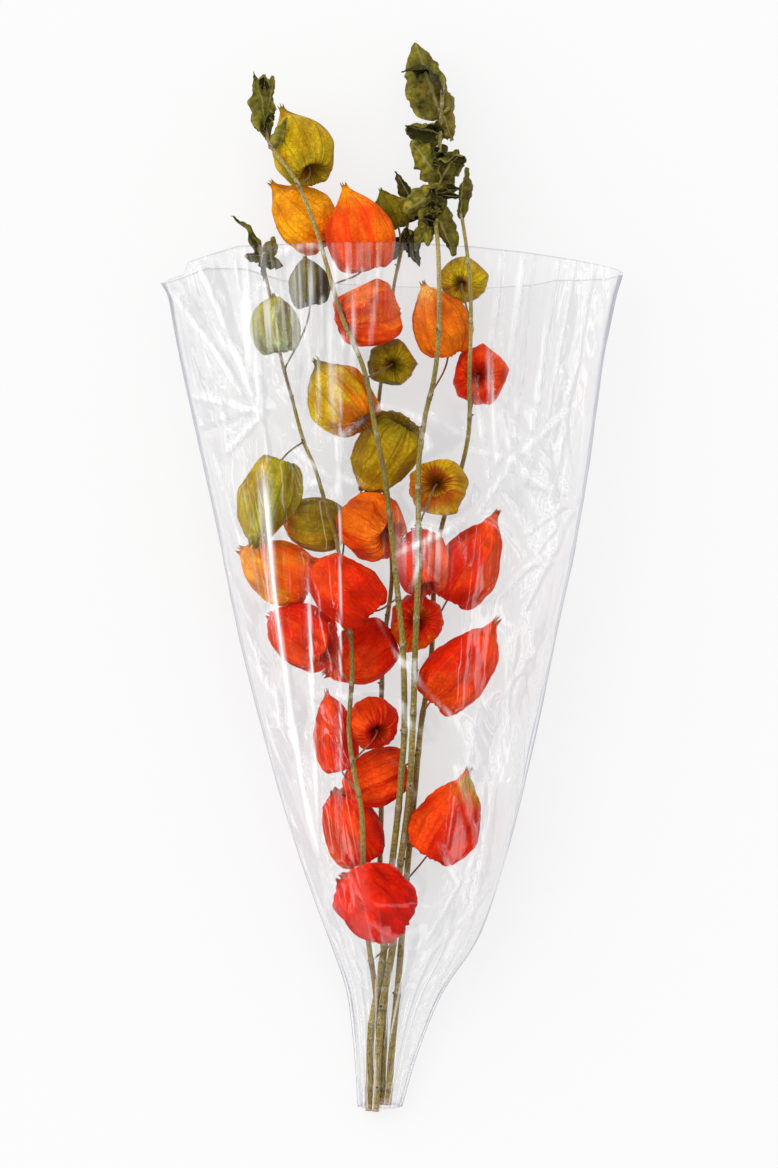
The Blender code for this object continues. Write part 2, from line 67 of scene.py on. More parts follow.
# Each lantern's middle, way from base to tip, length, width, the colour of its slot, the
# number of the stem that carries it and how far up that stem its stalk starts.
LANTERN_ROWS = (
    ((-60, 284, 42), (-0.30, 0.76, -0.56), 53, 40, "olive", 1, 255),
    ((-60, 240, 29), (-0.70, 0.70, -0.10), 50, 40, "amber", 1, 214),
    ((-22, 228, 58), (-0.22, 0.96, 0.02), 54, 44, "orange", 1, 190),
    ((-55, 196, 30), (-0.10, 0.97, -0.20), 34, 27, "green", 5, 138),
    ((-77, 168, 34), (-0.18, 0.97, -0.10), 38, 32, "lime", 5, 120),
    ((-11, 173, 58), (0.90, 0.22, -0.30), 46, 43, "red", 1, 152),
    ((30, 170, 52), (-0.30, 0.94, 0.12), 48, 38, "orange", 2, 118),
    ((47, 197, 30), (0.10, 0.30, -0.92), 36, 31, "olive", 3, 166),
    ((58, 134, 35), (0.10, 0.10, -0.97), 42, 38, "red", 3, 106),
    ((0, 142, 31), (0.00, 0.12, -0.97), 34, 31, "green", 1, 130),
    ((-36, 121, 53), (-0.64, 0.70, -0.30), 54, 44, "amber", 1, 92),
    ((-5, 82, 38), (-0.50, -0.80, -0.33), 50, 43, "olive", 2, 98),
    ((31, 60, 42), (0.12, -0.10, -0.97), 44, 38, "olive", 2, 34),
    ((-81, 52, 56), (-0.32, -0.94, -0.05), 54, 39, "lime", 5, 91),
    ((-53, 37, 24), (-0.97, 0.12, -0.05), 42, 35, "olive", 5, 8),
    ((-15, 37, 41), (-0.62, 0.38, -0.68), 46, 42, "orange", 1, 6),
    ((19.5, 14, 50), (-0.10, 0.85, -0.50), 46, 34, "red", 2, -26),
    ((53, 14, 26), (0.52, 0.83, 0.10), 62, 42, "red", 3, -32),
    ((-76, 6, 35), (-0.84, 0.45, -0.05), 50, 41, "orange", 5, -36),
    ((-32, -4, 68), (-0.70, 0.66, 0.10), 52, 42, "red", 1, -12),
    ((-61, -35, 50), (-0.78, 0.50, -0.36), 50, 38, "red", 5, -68),
    ((15, -29, 36), (-0.12, -0.12, -0.96), 42, 36, "orange", 2, -60),
    ((47, -55, 42), (0.66, 0.72, 0.10), 64, 43, "red", 3, -88),
    ((-22, -50, 32), (-0.76, -0.54, 0.36), 48, 40, "red", 4, -24),
    ((-14, -91, 39), (-0.25, 0.40, -0.88), 42, 32, "red", 5, -118),
    ((-38, -98, 27), (-0.15, 0.97, 0.05), 54, 28, "red", 5, -138),
    ((-12, -131, 28), (-0.90, -0.38, 0.10), 46, 34, "red", 3, -112),
    ((-29, -161, 21), (-0.45, 0.88, 0.05), 52, 37, "red", 5, -212),
    ((38.5, -154, 36), (0.50, 0.86, 0.08), 58, 43, "red", 3, -198),
    ((-14, -208, 49), (-0.70, 0.66, 0.16), 52, 45, "red", 5, -252),
    ((-2, 243, 36), (-0.45, 0.88, 0.05), 28, 23, "green", 4, 206),
)

LANTERNS = [
    (f"lantern_{number:02}", *shape, "lantern_" + colour, f"stem_{carrier}", up)
    for number, (*shape, colour, carrier, up) in enumerate(LANTERN_ROWS, 1)
]

# In the same order, each husk's colour at its base, belly and tip, the colour of its
# veins, a flush of another colour with the side that it is on, and how crumpled it is.
HUSK_LOOKS = (
    (OLIVE, YELLOW, GOLD, MOSS, GOLD, (0.5, 0.2, 0.4), 0.4),
    (ORANGE, AMBER, GOLD, RUST, AMBER, (-0.6, 0.6, 0.4), 0.7),
    (ORANGE_RED, ORANGE_RED, AMBER, RED, ORANGE, (0.9, 0.3, 0.1), 0.5),
    (MOSS, MOSS, OLIVE, DARK_MOSS, DARK_MOSS, (0.5, -0.5, 0.2), 0.6),
    (PALE_GREEN, PALE_GREEN, LIME, MOSS, LIME, (-0.5, 0.5, 0.3), 0.5),
    (ORANGE_RED, ORANGE_RED, ORANGE, RED, ORANGE, (0.2, 0.8, 0.4), 0.8),
    (ORANGE_RED, ORANGE, PALE_AMBER, RUST, ORANGE, (0.5, -0.2, 0.6), 0.9),
    (GOLD, GOLD, OLIVE, MOSS, YELLOW, (-0.2, 0.5, 0.7), 0.5),
    (RED, ORANGE_RED, RED, RED, ORANGE_RED, (0.5, 0.5, 0.5), 0.6),
    (OLIVE, OLIVE, OLIVE, MOSS, GOLD, (0.6, -0.2, 0.2), 0.5),
    (RUST, YELLOW, MOSS, OLIVE, ORANGE, (0.9, 0.1, 0.2), 0.6),
    (OLIVE, GOLD, LIME, MOSS, GOLD, (-0.3, -0.9, 0.3), 1.0),
    (RUST, GOLD, OLIVE, RUST, YELLOW, (0.1, 0.9, 0.4), 0.7),
    (LIME, LIME, LIME, MOSS, GOLD, (-0.7, 0.3, 0.1), 0.6),
    (OLIVE, GOLD, ORANGE, MOSS, OLIVE, (0.5, 0.5, 0.5), 0.5),
    (ORANGE, ORANGE_RED, ORANGE, RED, ORANGE, (-0.4, 0.5, 0.7), 0.8),
    (ORANGE_RED, ORANGE_RED, RED, DEEP_RED, RED, (-0.9, 0.3, 0.2), 0.9),
    (RED, RED, ORANGE_RED, DEEP_RED, ORANGE_RED, (0.8, 0.3, 0.2), 0.9),
    (ORANGE, AMBER, AMBER, ORANGE_RED, ORANGE_RED, (0.9, 0.2, 0.3), 0.7),
    (RED, RED, RED, DEEP_RED, ORANGE_RED, (-0.5, 0.8, 0.3), 0.8),
    (RED, RED, RED, DEEP_RED, ORANGE_RED, (-0.5, -0.8, 0.3), 0.8),
    (RED, ORANGE_RED, RED, DEEP_RED, ORANGE, (-0.2, -0.9, 0.3), 0.7),
    (RED, RED, ORANGE_RED, DEEP_RED, ORANGE_RED, (-0.2, -0.8, 0.4), 1.0),
    (DEEP_RED, RED, RED, DEEP_RED, ORANGE_RED, (-0.8, -0.5, 0.3), 0.9),
    (DEEP_RED, RED, SCARLET, DEEP_RED, ORANGE_RED, (-0.8, 0.3, 0.2), 0.5),
    (RED, RED, ORANGE_RED, DEEP_RED, ORANGE_RED, (-0.9, 0.3, 0.2), 0.6),
    (SCARLET, RED, SCARLET, DEEP_RED, ORANGE_RED, (-0.2, 0.6, 0.6), 0.9),
    (SCARLET, RED, RED, DEEP_RED, ORANGE_RED, (-0.6, -0.4, 0.5), 0.9),
    (RED, RED, LIME, DEEP_RED, ORANGE_RED, (-0.8, 0.2, 0.3), 1.1),
    (SCARLET, SCARLET, SCARLET, DEEP_RED, RED, (-0.5, 0.5, 0.5), 1.7),
    (MOSS, OLIVE, MOSS, DARK_MOSS, MOSS, (-0.5, 0.5, 0.5), 1.2),
)

# How far the tips that show bow away from their husks' axes, by the lantern's number.
TIP_BOWS = {
    1: (-6, 7, 2), 2: (-3, 4, 1), 3: (-4, 4, 0), 6: (-7, -3, -9), 7: (-4, 1, 0), 11: (4, 5, 0),
    12: (-2, -5, 0), 14: (-1, -6, 0), 18: (0, 7, 1), 19: (-3, 3, 0), 23: (1, 8, 1), 24: (-5, 1, 0),
    29: (-3, 8, 1),
}

# Radius at the cut end and at the tip, then the line that each stem follows upwards.
STEMS = {
    "stem_1": (
        (2.5, 1.1),
        (
            (-15.2, -350, 4.2), (-14, -300, 5.8), (-9.5, -270, 9.8), (-5, -240, 14),
            (-1, -195, 24), (4, -150, 42), (6, -125, 48), (8, -95, 51), (7, -45, 63), (4, -13, 66),
            (0, 26, 69), (-4.5, 65, 71), (-11, 98, 73), (-18, 135, 76), (-33, 172, 75),
            (-49, 226, 67), (-62, 258, 66), (-79, 282, 62), (-82, 300, 58), (-83, 328, 54),
        ),
    ),
    "stem_2": (
        (2.5, 1.2),
        (
            (-11, -350, 7.6), (-8.5, -300, 9.6), (-4.6, -270, 12.6), (0.4, -240, 15.5),
            (4.4, -195, 23), (10, -150, 42), (12, -125, 49), (14, -78, 56), (15, -39, 65),
            (17, 13, 74), (17, 71, 71), (21, 104, 71), (27, 130, 74), (30, 160, 76), (30, 208, 68),
            (28, 238, 56), (30, 268, 48), (32, 300, 44), (33, 324, 44),
        ),
    ),
    "stem_3": (
        (2.3, 1.1),
        (
            (-2.8, -346, 6.4), (0.6, -300, 7.2), (3.6, -270, 8.0), (6, -240, 9.6), (9.5, -195, 14),
            (14.5, -143, 22), (19, -95, 22), (25, -60, 11), (27, -25, 8.5), (28, 10, 6),
            (34, 40, 8), (44, 68, 18), (50, 98, 46), (50, 134, 66), (51, 172, 68), (49, 208, 62),
            (45, 238, 52),
        ),
    ),
    "stem_4": (
        (2.0, 1.0),
        (
            (-6.6, -346, 3.6), (-5, -300, 3.8), (-4.6, -270, 5.4), (-6, -240, 7), (-8, -195, 6),
            (-7, -143, 5), (-7, -78, 6), (-5, -39, 6), (0, 6, 8), (-5, 60, 9), (-9, 112, 9),
            (-3, 156, 7), (1, 192, 12), (6, 215, 20), (10, 232, 27), (12, 250, 31),
        ),
    ),
    "stem_5": (
        (1.9, 1.0),
        (
            (-10.6, -345, 2.8), (-9.2, -300, 2.7), (-11.2, -270, 4.0), (-15.3, -240, 9),
            (-18, -212, 17), (-19, -195, 27), (-19, -176, 42), (-20, -150, 50), (-25, -122, 54),
            (-28, -97, 54), (-26, -62, 60), (-27, -36, 54), (-31, -4, 40), (-36, 24, 41),
            (-42, 45, 50), (-50, 72, 40), (-58, 91, 25), (-66, 120, 12), (-74, 150, 8),
            (-79, 180, 9), (-84, 205, 24), (-86, 218, 32),
        ),
    ),
}

# The stem, where the leaf starts on it, the way it grows, the way its upper side faces,
# its length and width, and how much it cups across, curls along and twists, in degrees.
LEAVES = (
    ("stem_1", 288, (-0.04, 0.98, 0.15), (-0.7, 0.1, -0.7), 44, 19, 150, 25, 15),
    ("stem_1", 301, (0.34, 0.92, 0.05), (-0.4, 0.1, -0.9), 30, 15, 120, 45, -30),
    ("stem_1", 280, (0.30, 0.95, 0.12), (0.5, 0.1, -0.8), 24, 12, 120, 30, 25),
    ("stem_1", 318, (-0.05, 0.95, 0.30), (0.2, -0.3, 0.9), 27, 10, 130, 120, 60),
    ("stem_2", 302, (-0.30, 0.95, 0.10), (-0.35, -0.05, -0.93), 52.5, 44, 165, 12, 8),
    ("stem_2", 318, (0.10, 0.95, 0.20), (-0.9, -0.2, 0.2), 40, 22, 100, 130, -20),
    ("stem_2", 290, (-0.92, 0.32, 0.22), (0.2, -0.3, 0.9), 35, 22, 110, 60, 40),
    ("stem_2", 308, (0.22, -0.93, 0.30), (0.3, 0.0, -0.95), 25, 16, 140, 20, 10),
    ("stem_2", 268, (0.76, 0.60, 0.20), (0.1, -0.4, 0.9), 28, 22, 100, 70, -30),
    ("stem_2", 262, (-0.50, 0.72, 0.45), (0.1, -0.2, -0.97), 32, 28, 140, 60, 30),
    ("stem_2", 254, (0.40, 0.80, 0.45), (0.2, 0.1, -0.95), 32, 24, 130, 50, -40),
    ("stem_2", 250, (-0.80, -0.42, 0.42), (-0.3, -0.2, -0.95), 26, 30, 165, 30, 10),
    ("stem_2", 256, (-0.10, -0.95, 0.30), (-0.2, -0.1, -0.97), 42, 26, 150, 20, 15),
    ("stem_2", 242, (0.30, -0.92, 0.25), (0.3, -0.1, -0.95), 36, 22, 150, 20, -15),
    ("stem_2", 236, (-0.45, -0.88, 0.10), (-0.3, 0.1, -0.95), 28, 17, 140, 20, 10),
    ("stem_3", 236, (-0.12, 0.98, 0.05), (0.8, -0.1, -0.5), 34, 15, 130, 30, -30),
    ("stem_4", 249, (-0.38, 0.90, 0.15), (-0.3, 0.1, -0.9), 24, 12, 120, 40, 20),
    ("stem_4", 236, (0.45, 0.88, 0.10), (0.5, -0.2, -0.8), 24, 15, 120, 50, -20),
    ("stem_4", 222, (-0.62, -0.70, 0.10), (-0.2, 0.2, -0.95), 27, 16, 140, 30, 10),
    ("stem_4", 228, (0.25, -0.93, 0.20), (0.3, 0.1, -0.9), 26, 15, 140, 30, -20),
    ("stem_5", 206, (0.15, 0.95, 0.25), (-0.95, 0.1, 0.1), 44, 15, 110, 75, -20),
    ("stem_5", 210, (0.35, 0.78, -0.35), (0.1, 0.2, -0.9), 23, 16, 130, 30, 30),
)

# Half profile of a husk, as shares of its widest radius and of its length: the sunken
# floor round the stalk, the rim of the base, the belly and the drawn-out tip.
HUSK_PROFILE = (
    (0.03, 0.21), (0.10, 0.17), (0.22, 0.095), (0.38, 0.03), (0.56, 0.0), (0.83, 0.09), (1.0, 0.33),
    (0.92, 0.56), (0.64, 0.745), (0.30, 0.865), (0.13, 0.925), (0.065, 0.965),
)
# The same for a husk whose tip is drawn out less.
BLUNT_PROFILE = (
    (0.03, 0.21), (0.10, 0.17), (0.22, 0.095), (0.38, 0.03), (0.58, 0.0), (0.86, 0.10), (1.0, 0.35),
    (0.97, 0.58), (0.80, 0.77), (0.50, 0.89), (0.20, 0.945), (0.065, 0.965),
)
# How blunt the husks are that aren't drawn out to a long tip.
BLUNTNESS = {
    5: 0.6, 6: 0.9, 12: 0.9, 14: 0.9, 15: 0.8, 16: 1.0, 17: 0.8, 19: 0.6, 20: 0.9, 21: 0.7, 24: 0.5,
    27: 0.6, 28: 0.9, 30: 1.0,
}
HUSK_FLOOR = 0.13
HUSK_DEPTH = 0.20
HUSK_ROWS = 64
HUSK_COLUMNS = 120
RIBS = 10
RIB_HEIGHT = 0.034
KEEL_HEIGHT = 0.034
DENT = 0.035
RIM_PLEATS = 0.030
# How far out a cheek is pressed, as a share of the husk's reach, and how hard.
CHEEK_LIMITS = (0.80, 0.93)
CHEEK_STRENGTHS = (0.8, 1.0, 1.7)
# Painted light on the crests of a husk's creases and painted shade in their hollows, by colour channel.
CREASE_PAINTED_LIGHT_AND_SHADE = (0.20, 0.34, 0.34)
# Painted shade in the sunken floor of a husk's base, by colour channel.
HOLLOW_PAINTED_SHADE = (0.62, 0.80, 0.80)
DRY_TIP = (0.10, 0.07, 0.015)
TOOTH_LENGTH = 0.055
TOOTH_SPREAD = 0.022

STALK_RADIUS = 0.62
STALK_LEAVING = 0.22
STALK_RUN_BY_LENGTH = 0.24
STALK_RUN_BY_GAP = 0.36

STEM_SIDES = 16
STEM_RING_GAP = 2.4
STEM_RIDGES = 5
FIRST_SCAR = -335.0
SCAR_CLEARANCE = 22
SCAR_GAPS = (38, 62)
STUB_LENGTHS = (0.8, 2.6)

LEAF_ROWS = 30
LEAF_COLUMNS = 16
LEAF_THICKNESS = 0.35
LEAF_ROOT = 1.5
MORE_CUPPED = 1.35
WIDEST_CUP = 178

# The sleeve from its foot to its mouth: how far up it is, its left and right edges, its
# height above the surface and the height of its side creases.
SLEEVE_STATIONS = (
    (-347, -20.5, 4.5, 18.0, 8.0), (-310, -23.0, 15.5, 22.0, 9.0), (-272, -27.5, 31.0, 34.0, 11.0),
    (-240, -38.0, 52.0, 62.0, 14.0), (-208, -50.0, 65.0, 84.0, 17.0),
    (-160, -66.0, 79.0, 88.0, 19.0), (-100, -83.0, 93.0, 94.0, 21.0),
    (-40, -98.0, 105.0, 102.0, 23.0), (20, -110.0, 118.0, 104.0, 24.0),
    (80, -123.0, 128.0, 98.0, 25.0), (140, -136.0, 136.0, 92.0, 25.0),
    (186, -145.0, 145.0, 90.0, 24.0),
)
# How far past the last station the mouth's edge runs, by how far over to the right.
MOUTH_FRONT = (
    (-149, 7), (-131, 12), (-128, 20), (-97, 29), (-60, 30), (0, 31), (50, 28), (83, 25), (119, 20),
    (150, 15),
)
MOUTH_BACK = (
    (-149, 7), (-128, 16), (-118, 20), (-94, 20), (-70, 12), (0, 8), (59, 7), (90, 9), (105, 12), (136, 12),
    (150, 15),
)
MOUTH_FLARE = 4.5
SEAM_WIDTH = 2.0
FILM_LOWEST = 0.05
SECTION_STEPS = 1441
SIDE_POWER = 0.86
FRONT_POWER = 0.78
UNDERSIDE_POWER = 0.8
UNDERSIDE_SPREAD = 1.25
FOLD_COUNT = 11
FOLD_HEIGHT = 1.6
FULLY_FOLDED_HALF_WIDTH = 60.0
FRONT_COLUMNS = 232
FRONT_GAP = 1.55
FRONT_MOUTH_ROWS = 20
BACK_COLUMNS = 112
BACK_GAP = 3.1
BACK_MOUTH_ROWS = 10

CAMERA_PLACE = (-0.00195, -0.0026, 3.05)
CAMERA_LENS = 142.3
FLOOR_SIZE = 9.0
TABLE_DROP = 0.0006
STUDIO_LIGHT = 0.72
KEY_LIGHT = 2.1
KEY_WAY = (-0.45, 0.38, 0.81)
MIRRORED_CEILING = 0.005
MIRRORED_WALLS = 0.16

# Narrow lights that only the film and other gloss mirror: how far over to the right, or
# to the top, they stand from straight above, their half width, both in degrees, and
# their brightness.
LIGHTS_ACROSS = (
    (-98, 4.0, 4.0), (-85, 3.4, 4.0), (-73, 2.4, 4.2), (-61, 1.0, 5.5), (-48, 0.8, 5.5),
    (-36, 0.5, 5.0), (40, 0.5, 5.0), (51, 2.0, 4.2), (62, 3.0, 4.0), (74, 3.2, 4.0), (86, 3.4, 4.0),
    (99, 4.0, 4.0),
)
LIGHTS_ALONG = (
    (-80, 4.0, 2.6), (-42, 2.4, 1.8), (36, 2.0, 3.6), (54, 4.0, 3.0),
)


def unit(way):
    """A vector or rows of vectors, scaled to length one."""
    way = np.asarray(way, float)
    return way / np.maximum(np.linalg.norm(way, axis=-1, keepdims=True), 1e-9)


def axes_along(way):
    """Two unit vectors square to a way and to each other."""
    along = unit(way)
    upright = (0.0, 0.0, 1.0) if abs(along[2]) < 0.9 else (0.0, 1.0, 0.0)
    side = unit(np.cross(along, upright))
    return side, np.cross(side, along)


def curve_through(points, steps):
    """A smooth line through the points, with this many steps from each to the next."""
    spots = np.asarray(points, float)
    spots = np.vstack([2 * spots[0] - spots[1], spots, 2 * spots[-1] - spots[-2]])
    line = []
    for a, b, c, d in zip(spots, spots[1:], spots[2:], spots[3:]):
        for t in np.arange(steps) / steps:
            line.append(
                0.5 * (2 * b + (c - a) * t + (2 * a - 5 * b + 4 * c - d) * t ** 2
                       + (3 * b - a - 3 * c + d) * t ** 3)
            )
    line.append(spots[-2])
    return np.array(line)


def resampled(line, count):
    """The line read again at this many even distances."""
    run = np.concatenate([[0.0], np.cumsum(np.linalg.norm(np.diff(line, axis=0), axis=1))])
    wanted = np.linspace(0.0, run[-1], count)
    return np.stack([np.interp(wanted, run, line[:, k]) for k in range(line.shape[1])], 1)


def smooth_step(low, high, value):
    """0 below low, 1 above high, and a smooth rise between them."""
    t = np.clip((value - low) / (high - low), 0.0, 1.0)
    return t * t * (3 - 2 * t)


def lattice(cells, seed):
    """A repeatable random number from -1 to 1 for each whole-numbered cell."""
    mixed = cells[..., 0] * 374761393 + cells[..., 1] * 668265263
    mixed = (mixed + cells[..., 2] * 1274126177 + seed * 974634777) & 0xFFFFFFFF
    mixed = ((mixed ^ (mixed >> 13)) * 1103515245 + 12345) & 0xFFFFFFFF
    mixed = ((mixed ^ (mixed >> 16)) * 1664525 + 1013904223) & 0xFFFFFFFF
    return (mixed >> 8) / float(0x7FFFFF) - 1.0


def noise(points, seed):
    """Smooth noise from -1 to 1 at each point."""
    cell = np.floor(points).astype(np.int64)
    part = points - cell
    blend = part * part * (3 - 2 * part)
    total = np.zeros(points.shape[:-1])
    for corner in itertools.product((0, 1), repeat=3):
        weight = np.prod(np.where(np.array(corner) == 1, blend, 1 - blend), axis=-1)
        total += weight * lattice(cell + np.array(corner), seed)
    return total


def facets(points, seed):
    """Creased noise made of flat facets that meet in sharp lines, from 0 to about 1."""
    cell = np.floor(points).astype(np.int64)
    nearest = np.full(points.shape[:-1], 9.0)
    for offset in itertools.product((-1, 0, 1), repeat=3):
        near = cell + np.array(offset)
        jitter = np.stack([lattice(near, seed + k) for k in range(3)], -1) * 0.4 + 0.5
        nearest = np.minimum(nearest, np.abs(near + jitter - points).sum(-1))
    return nearest


def folded(x, y, seed):
    """Noise in a plane, from -1 to 1, made of flat triangles that meet in straight creases."""
    sway = 0.3 * noise(np.stack([x / 2.5, y / 2.5, np.zeros_like(x)], -1), seed + 40)
    x, y = x + sway, y - sway
    cell = np.stack([np.floor(x), np.floor(y), np.zeros_like(x)], -1).astype(np.int64)
    across, up = x - cell[..., 0], y - cell[..., 1]
    most, least = np.maximum(across, up), np.minimum(across, up)
    right, above = lattice(cell + (1, 0, 0), seed), lattice(cell + (0, 1, 0), seed)
    beside = np.where(across > up, right, above)
    far = lattice(cell + np.array((1, 1, 0)), seed)
    return lattice(cell, seed) * (1 - most) + beside * (most - least) + far * least


def grid_normals(grid, wraps):
    """The normal at each point of a grid of rows and columns."""
    down = np.gradient(grid, axis=0)
    if wraps:
        across = (np.roll(grid, -1, axis=1) - np.roll(grid, 1, axis=1)) / 2
    else:
        across = np.gradient(grid, axis=1)
    return unit(np.cross(across, down))


def piece(name, points, faces, material, corners=None, tints=None):
    """An object with this mesh, given in millimetres, its map corners and point colours."""
    mesh = bpy.data.meshes.new(name)
    mesh.from_pydata((np.asarray(points) * MM).tolist(), [], faces)
    if corners is not None:
        layer = mesh.uv_layers.new(name="way")
        layer.data.foreach_set("uv", np.asarray(corners, np.float32).ravel())
    for label, colours in (tints or {}).items():
        attribute = mesh.color_attributes.new(label, "FLOAT_COLOR", "POINT")
        opaque = np.concatenate([colours, np.ones((len(colours), 1))], 1)
        attribute.data.foreach_set("color", opaque.astype(np.float32).ravel())
    mesh.shade_smooth()
    mesh.materials.append(material)
    made = bpy.data.objects.new(name, mesh)
    bpy.context.scene.collection.objects.link(made)
    return made


def grid_faces(rows, columns, wraps, first=0):
    """The faces of a grid, and the map corners of each, with both ways from 0 to 1."""
    faces = []
    corners = []
    last = columns if wraps else columns - 1
    for i in range(rows - 1):
        for k in range(last):
            after = (k + 1) % columns
            low = first + i * columns
            high = low + columns
            faces.append((low + k, low + after, high + after, high + k))
            left, right = k / last, (k + 1) / last
            bottom, top = i / (rows - 1), (i + 1) / (rows - 1)
            corners += [(left, bottom), (right, bottom), (right, top), (left, top)]
    return faces, corners


class Nodes:
    """A short way to write the nodes of a material or of the world."""

    def __init__(self, owner):
        self.owner = owner
        owner.use_nodes = True
        self.tree = owner.node_tree
        self.tree.nodes.clear()

    def add(self, kind, links=None, **settings):
        """A new node, its settings, and its inputs by name or number."""
        node = self.tree.nodes.new("ShaderNode" + kind)
        for key, value in settings.items():
            setattr(node, key, value)
        for key, value in (links or {}).items():
            if isinstance(value, bpy.types.NodeSocket):
                self.tree.links.new(value, node.inputs[key])
            else:
                node.inputs[key].default_value = value
        return node

    def math(self, operation, a, b=0.0):
        """One sum."""
        return self.add("Math", {0: a, 1: b}, operation=operation).outputs[0]

    def times(self, a, b):
        """Two values multiplied."""
        return self.math("MULTIPLY", a, b)

    def plus(self, a, b):
        """Two values added."""
        return self.math("ADD", a, b)

    def minus(self, a, b):
        """One value less another."""
        return self.math("SUBTRACT", a, b)

    def away(self, a, b):
        """How far apart two values are."""
        return self.math("ABSOLUTE", self.minus(a, b))

    def colour_of(self, name):
        """A colour that the points of the mesh carry."""
        return self.add("Attribute", attribute_name=name).outputs["Color"]

    def way(self):
        """The map of the mesh: how far across and how far up each point is."""
        return self.add("SeparateXYZ", {0: self.add("UVMap", uv_map="way").outputs[0]}).outputs[:2]

    def noise(self, vector, scale, detail, roughness=0.5):
        """Noise from 0 to 1."""
        links = {"Vector": vector, "Scale": scale, "Detail": detail, "Roughness": roughness}
        return self.add("TexNoise", links).outputs[0]

    def streaks(self, across, up, columns, rows, detail, roughness=0.5):
        """Noise that is stretched along the map."""
        scaled = self.add("CombineXYZ", {0: self.times(across, columns), 1: self.times(up, rows)})
        return self.noise(scaled.outputs[0], 1.0, detail, roughness)

    def shaded(self, colour, shade):
        """A colour multiplied by a grey."""
        grey = self.add("CombineColor", {0: shade, 1: shade, 2: shade}).outputs[0]
        return self.mix(1.0, colour, grey, "MULTIPLY")

    def bump(self, height, strength, distance):
        """The normal of fine relief."""
        return self.add("Bump", {"Strength": strength, "Distance": distance, "Height": height}).outputs[0]

    def ramp(self, value, low, high, start=0.0, end=1.0):
        """The value moved smoothly from one range to another, and held inside it."""
        links = {"Value": value, "From Min": low, "From Max": high, "To Min": start, "To Max": end}
        return self.add("MapRange", links, interpolation_type="SMOOTHSTEP").outputs[0]

    def mix(self, factor, a, b, blend="MIX"):
        """Two colours mixed."""
        node = self.add("Mix", data_type="RGBA", blend_type=blend)
        for key, value in ((0, factor), (6, a), (7, b)):
            if isinstance(value, bpy.types.NodeSocket):
                self.tree.links.new(value, node.inputs[key])
            else:
                node.inputs[key].default_value = (*value, 1.0) if key else value
        return node.outputs[2]

    def solid(self, colour, roughness, gloss, bump):
        """An opaque surface."""
        links = {"Base Color": colour, "Roughness": roughness, "Specular IOR Level": gloss, "Normal": bump}
        return self.add("BsdfPrincipled", links)

    def lit_through(self, body, colour, bump, share):
        """A thin surface that lets this share of the light through."""
        through = self.add("BsdfTranslucent", {"Color": colour, "Normal": bump})
        links = {0: share, 1: body.outputs[0], 2: through.outputs[0]}
        return self.add("MixShader", links).outputs[0]

    def close(self, shader):
        """The material's output, fed by this shader."""
        self.add("OutputMaterial", {"Surface": shader})
        return self.owner


def husk_material():
    """Dry, thin, translucent paper with ribs, fine veins and soft blotches."""
    n = Nodes(bpy.data.materials.new("husk_paper"))
    tint, vein_tint = n.colour_of("tint"), n.colour_of("vein")
    across, up = n.way()
    place = n.add("TexCoord").outputs["Object"]
    # Distance from the nearest rib: 0 on it and 1 halfway to the next.
    turns = n.math("FRACT", n.times(across, RIBS))
    from_rib = n.times(n.math("MINIMUM", turns, n.minus(1.0, turns)), 2.0)
    rib = n.ramp(from_rib, 0.0, 0.14, 1.0, 0.0)
    # Fine creases that run from the base to the tip.
    crease = n.streaks(across, up, 90.0, 5.0, 2.0)
    fine = n.ramp(crease, 0.56, 0.70, 0.0, 1.0)
    near_base = n.ramp(up, 0.05, 0.45, 1.0, 0.15)
    # The many lines that run into the sunken base: vein colour, darkened further as painted shade in their
    # grooves.
    sway = n.times(n.minus(crease, 0.5), 0.7)
    beat = n.math("FRACT", n.plus(n.times(across, 3.0 * RIBS), sway))
    spoke = n.ramp(n.away(beat, 0.5), 0.0, 0.20, 1.0, 0.0)
    spoke = n.times(spoke, n.ramp(up, 0.16, 0.42, 1.0, 0.0))
    # The net of small veins between the ribs.
    net = n.add(
        "TexVoronoi", {"Vector": place, "Scale": 260.0, "Randomness": 1.0}, feature="DISTANCE_TO_EDGE"
    ).outputs[0]
    mesh_line = n.ramp(net, 0.02, 0.12, 1.0, 0.0)
    blotch = n.noise(place, 55.0, 4.0, 0.6)
    shade = n.ramp(blotch, 0.30, 0.72, 0.78, 1.16)
    colour = n.shaded(tint, shade)
    colour = n.mix(n.times(mesh_line, 0.32), colour, vein_tint)
    colour = n.mix(n.times(n.times(fine, near_base), 0.5), colour, vein_tint)
    colour = n.mix(n.times(rib, 0.5), colour, vein_tint)
    # Vein colour darkened as painted shade in the grooves of those lines.
    vein_in_painted_shade = n.mix(1.0, vein_tint, (0.36, 0.26, 0.26), "MULTIPLY")
    colour = n.mix(n.times(spoke, 0.8), colour, vein_in_painted_shade)
    relief = n.plus(n.times(rib, 0.7), n.times(mesh_line, 0.45))
    relief = n.minus(relief, n.times(spoke, 0.6))
    relief = n.minus(relief, n.times(fine, 0.5))
    relief = n.plus(relief, n.times(blotch, 0.9))
    bump = n.bump(relief, 0.6, 0.0009)
    body = n.solid(colour, 0.5, 0.06, bump)
    return n.close(n.lit_through(body, colour, bump, 0.18))


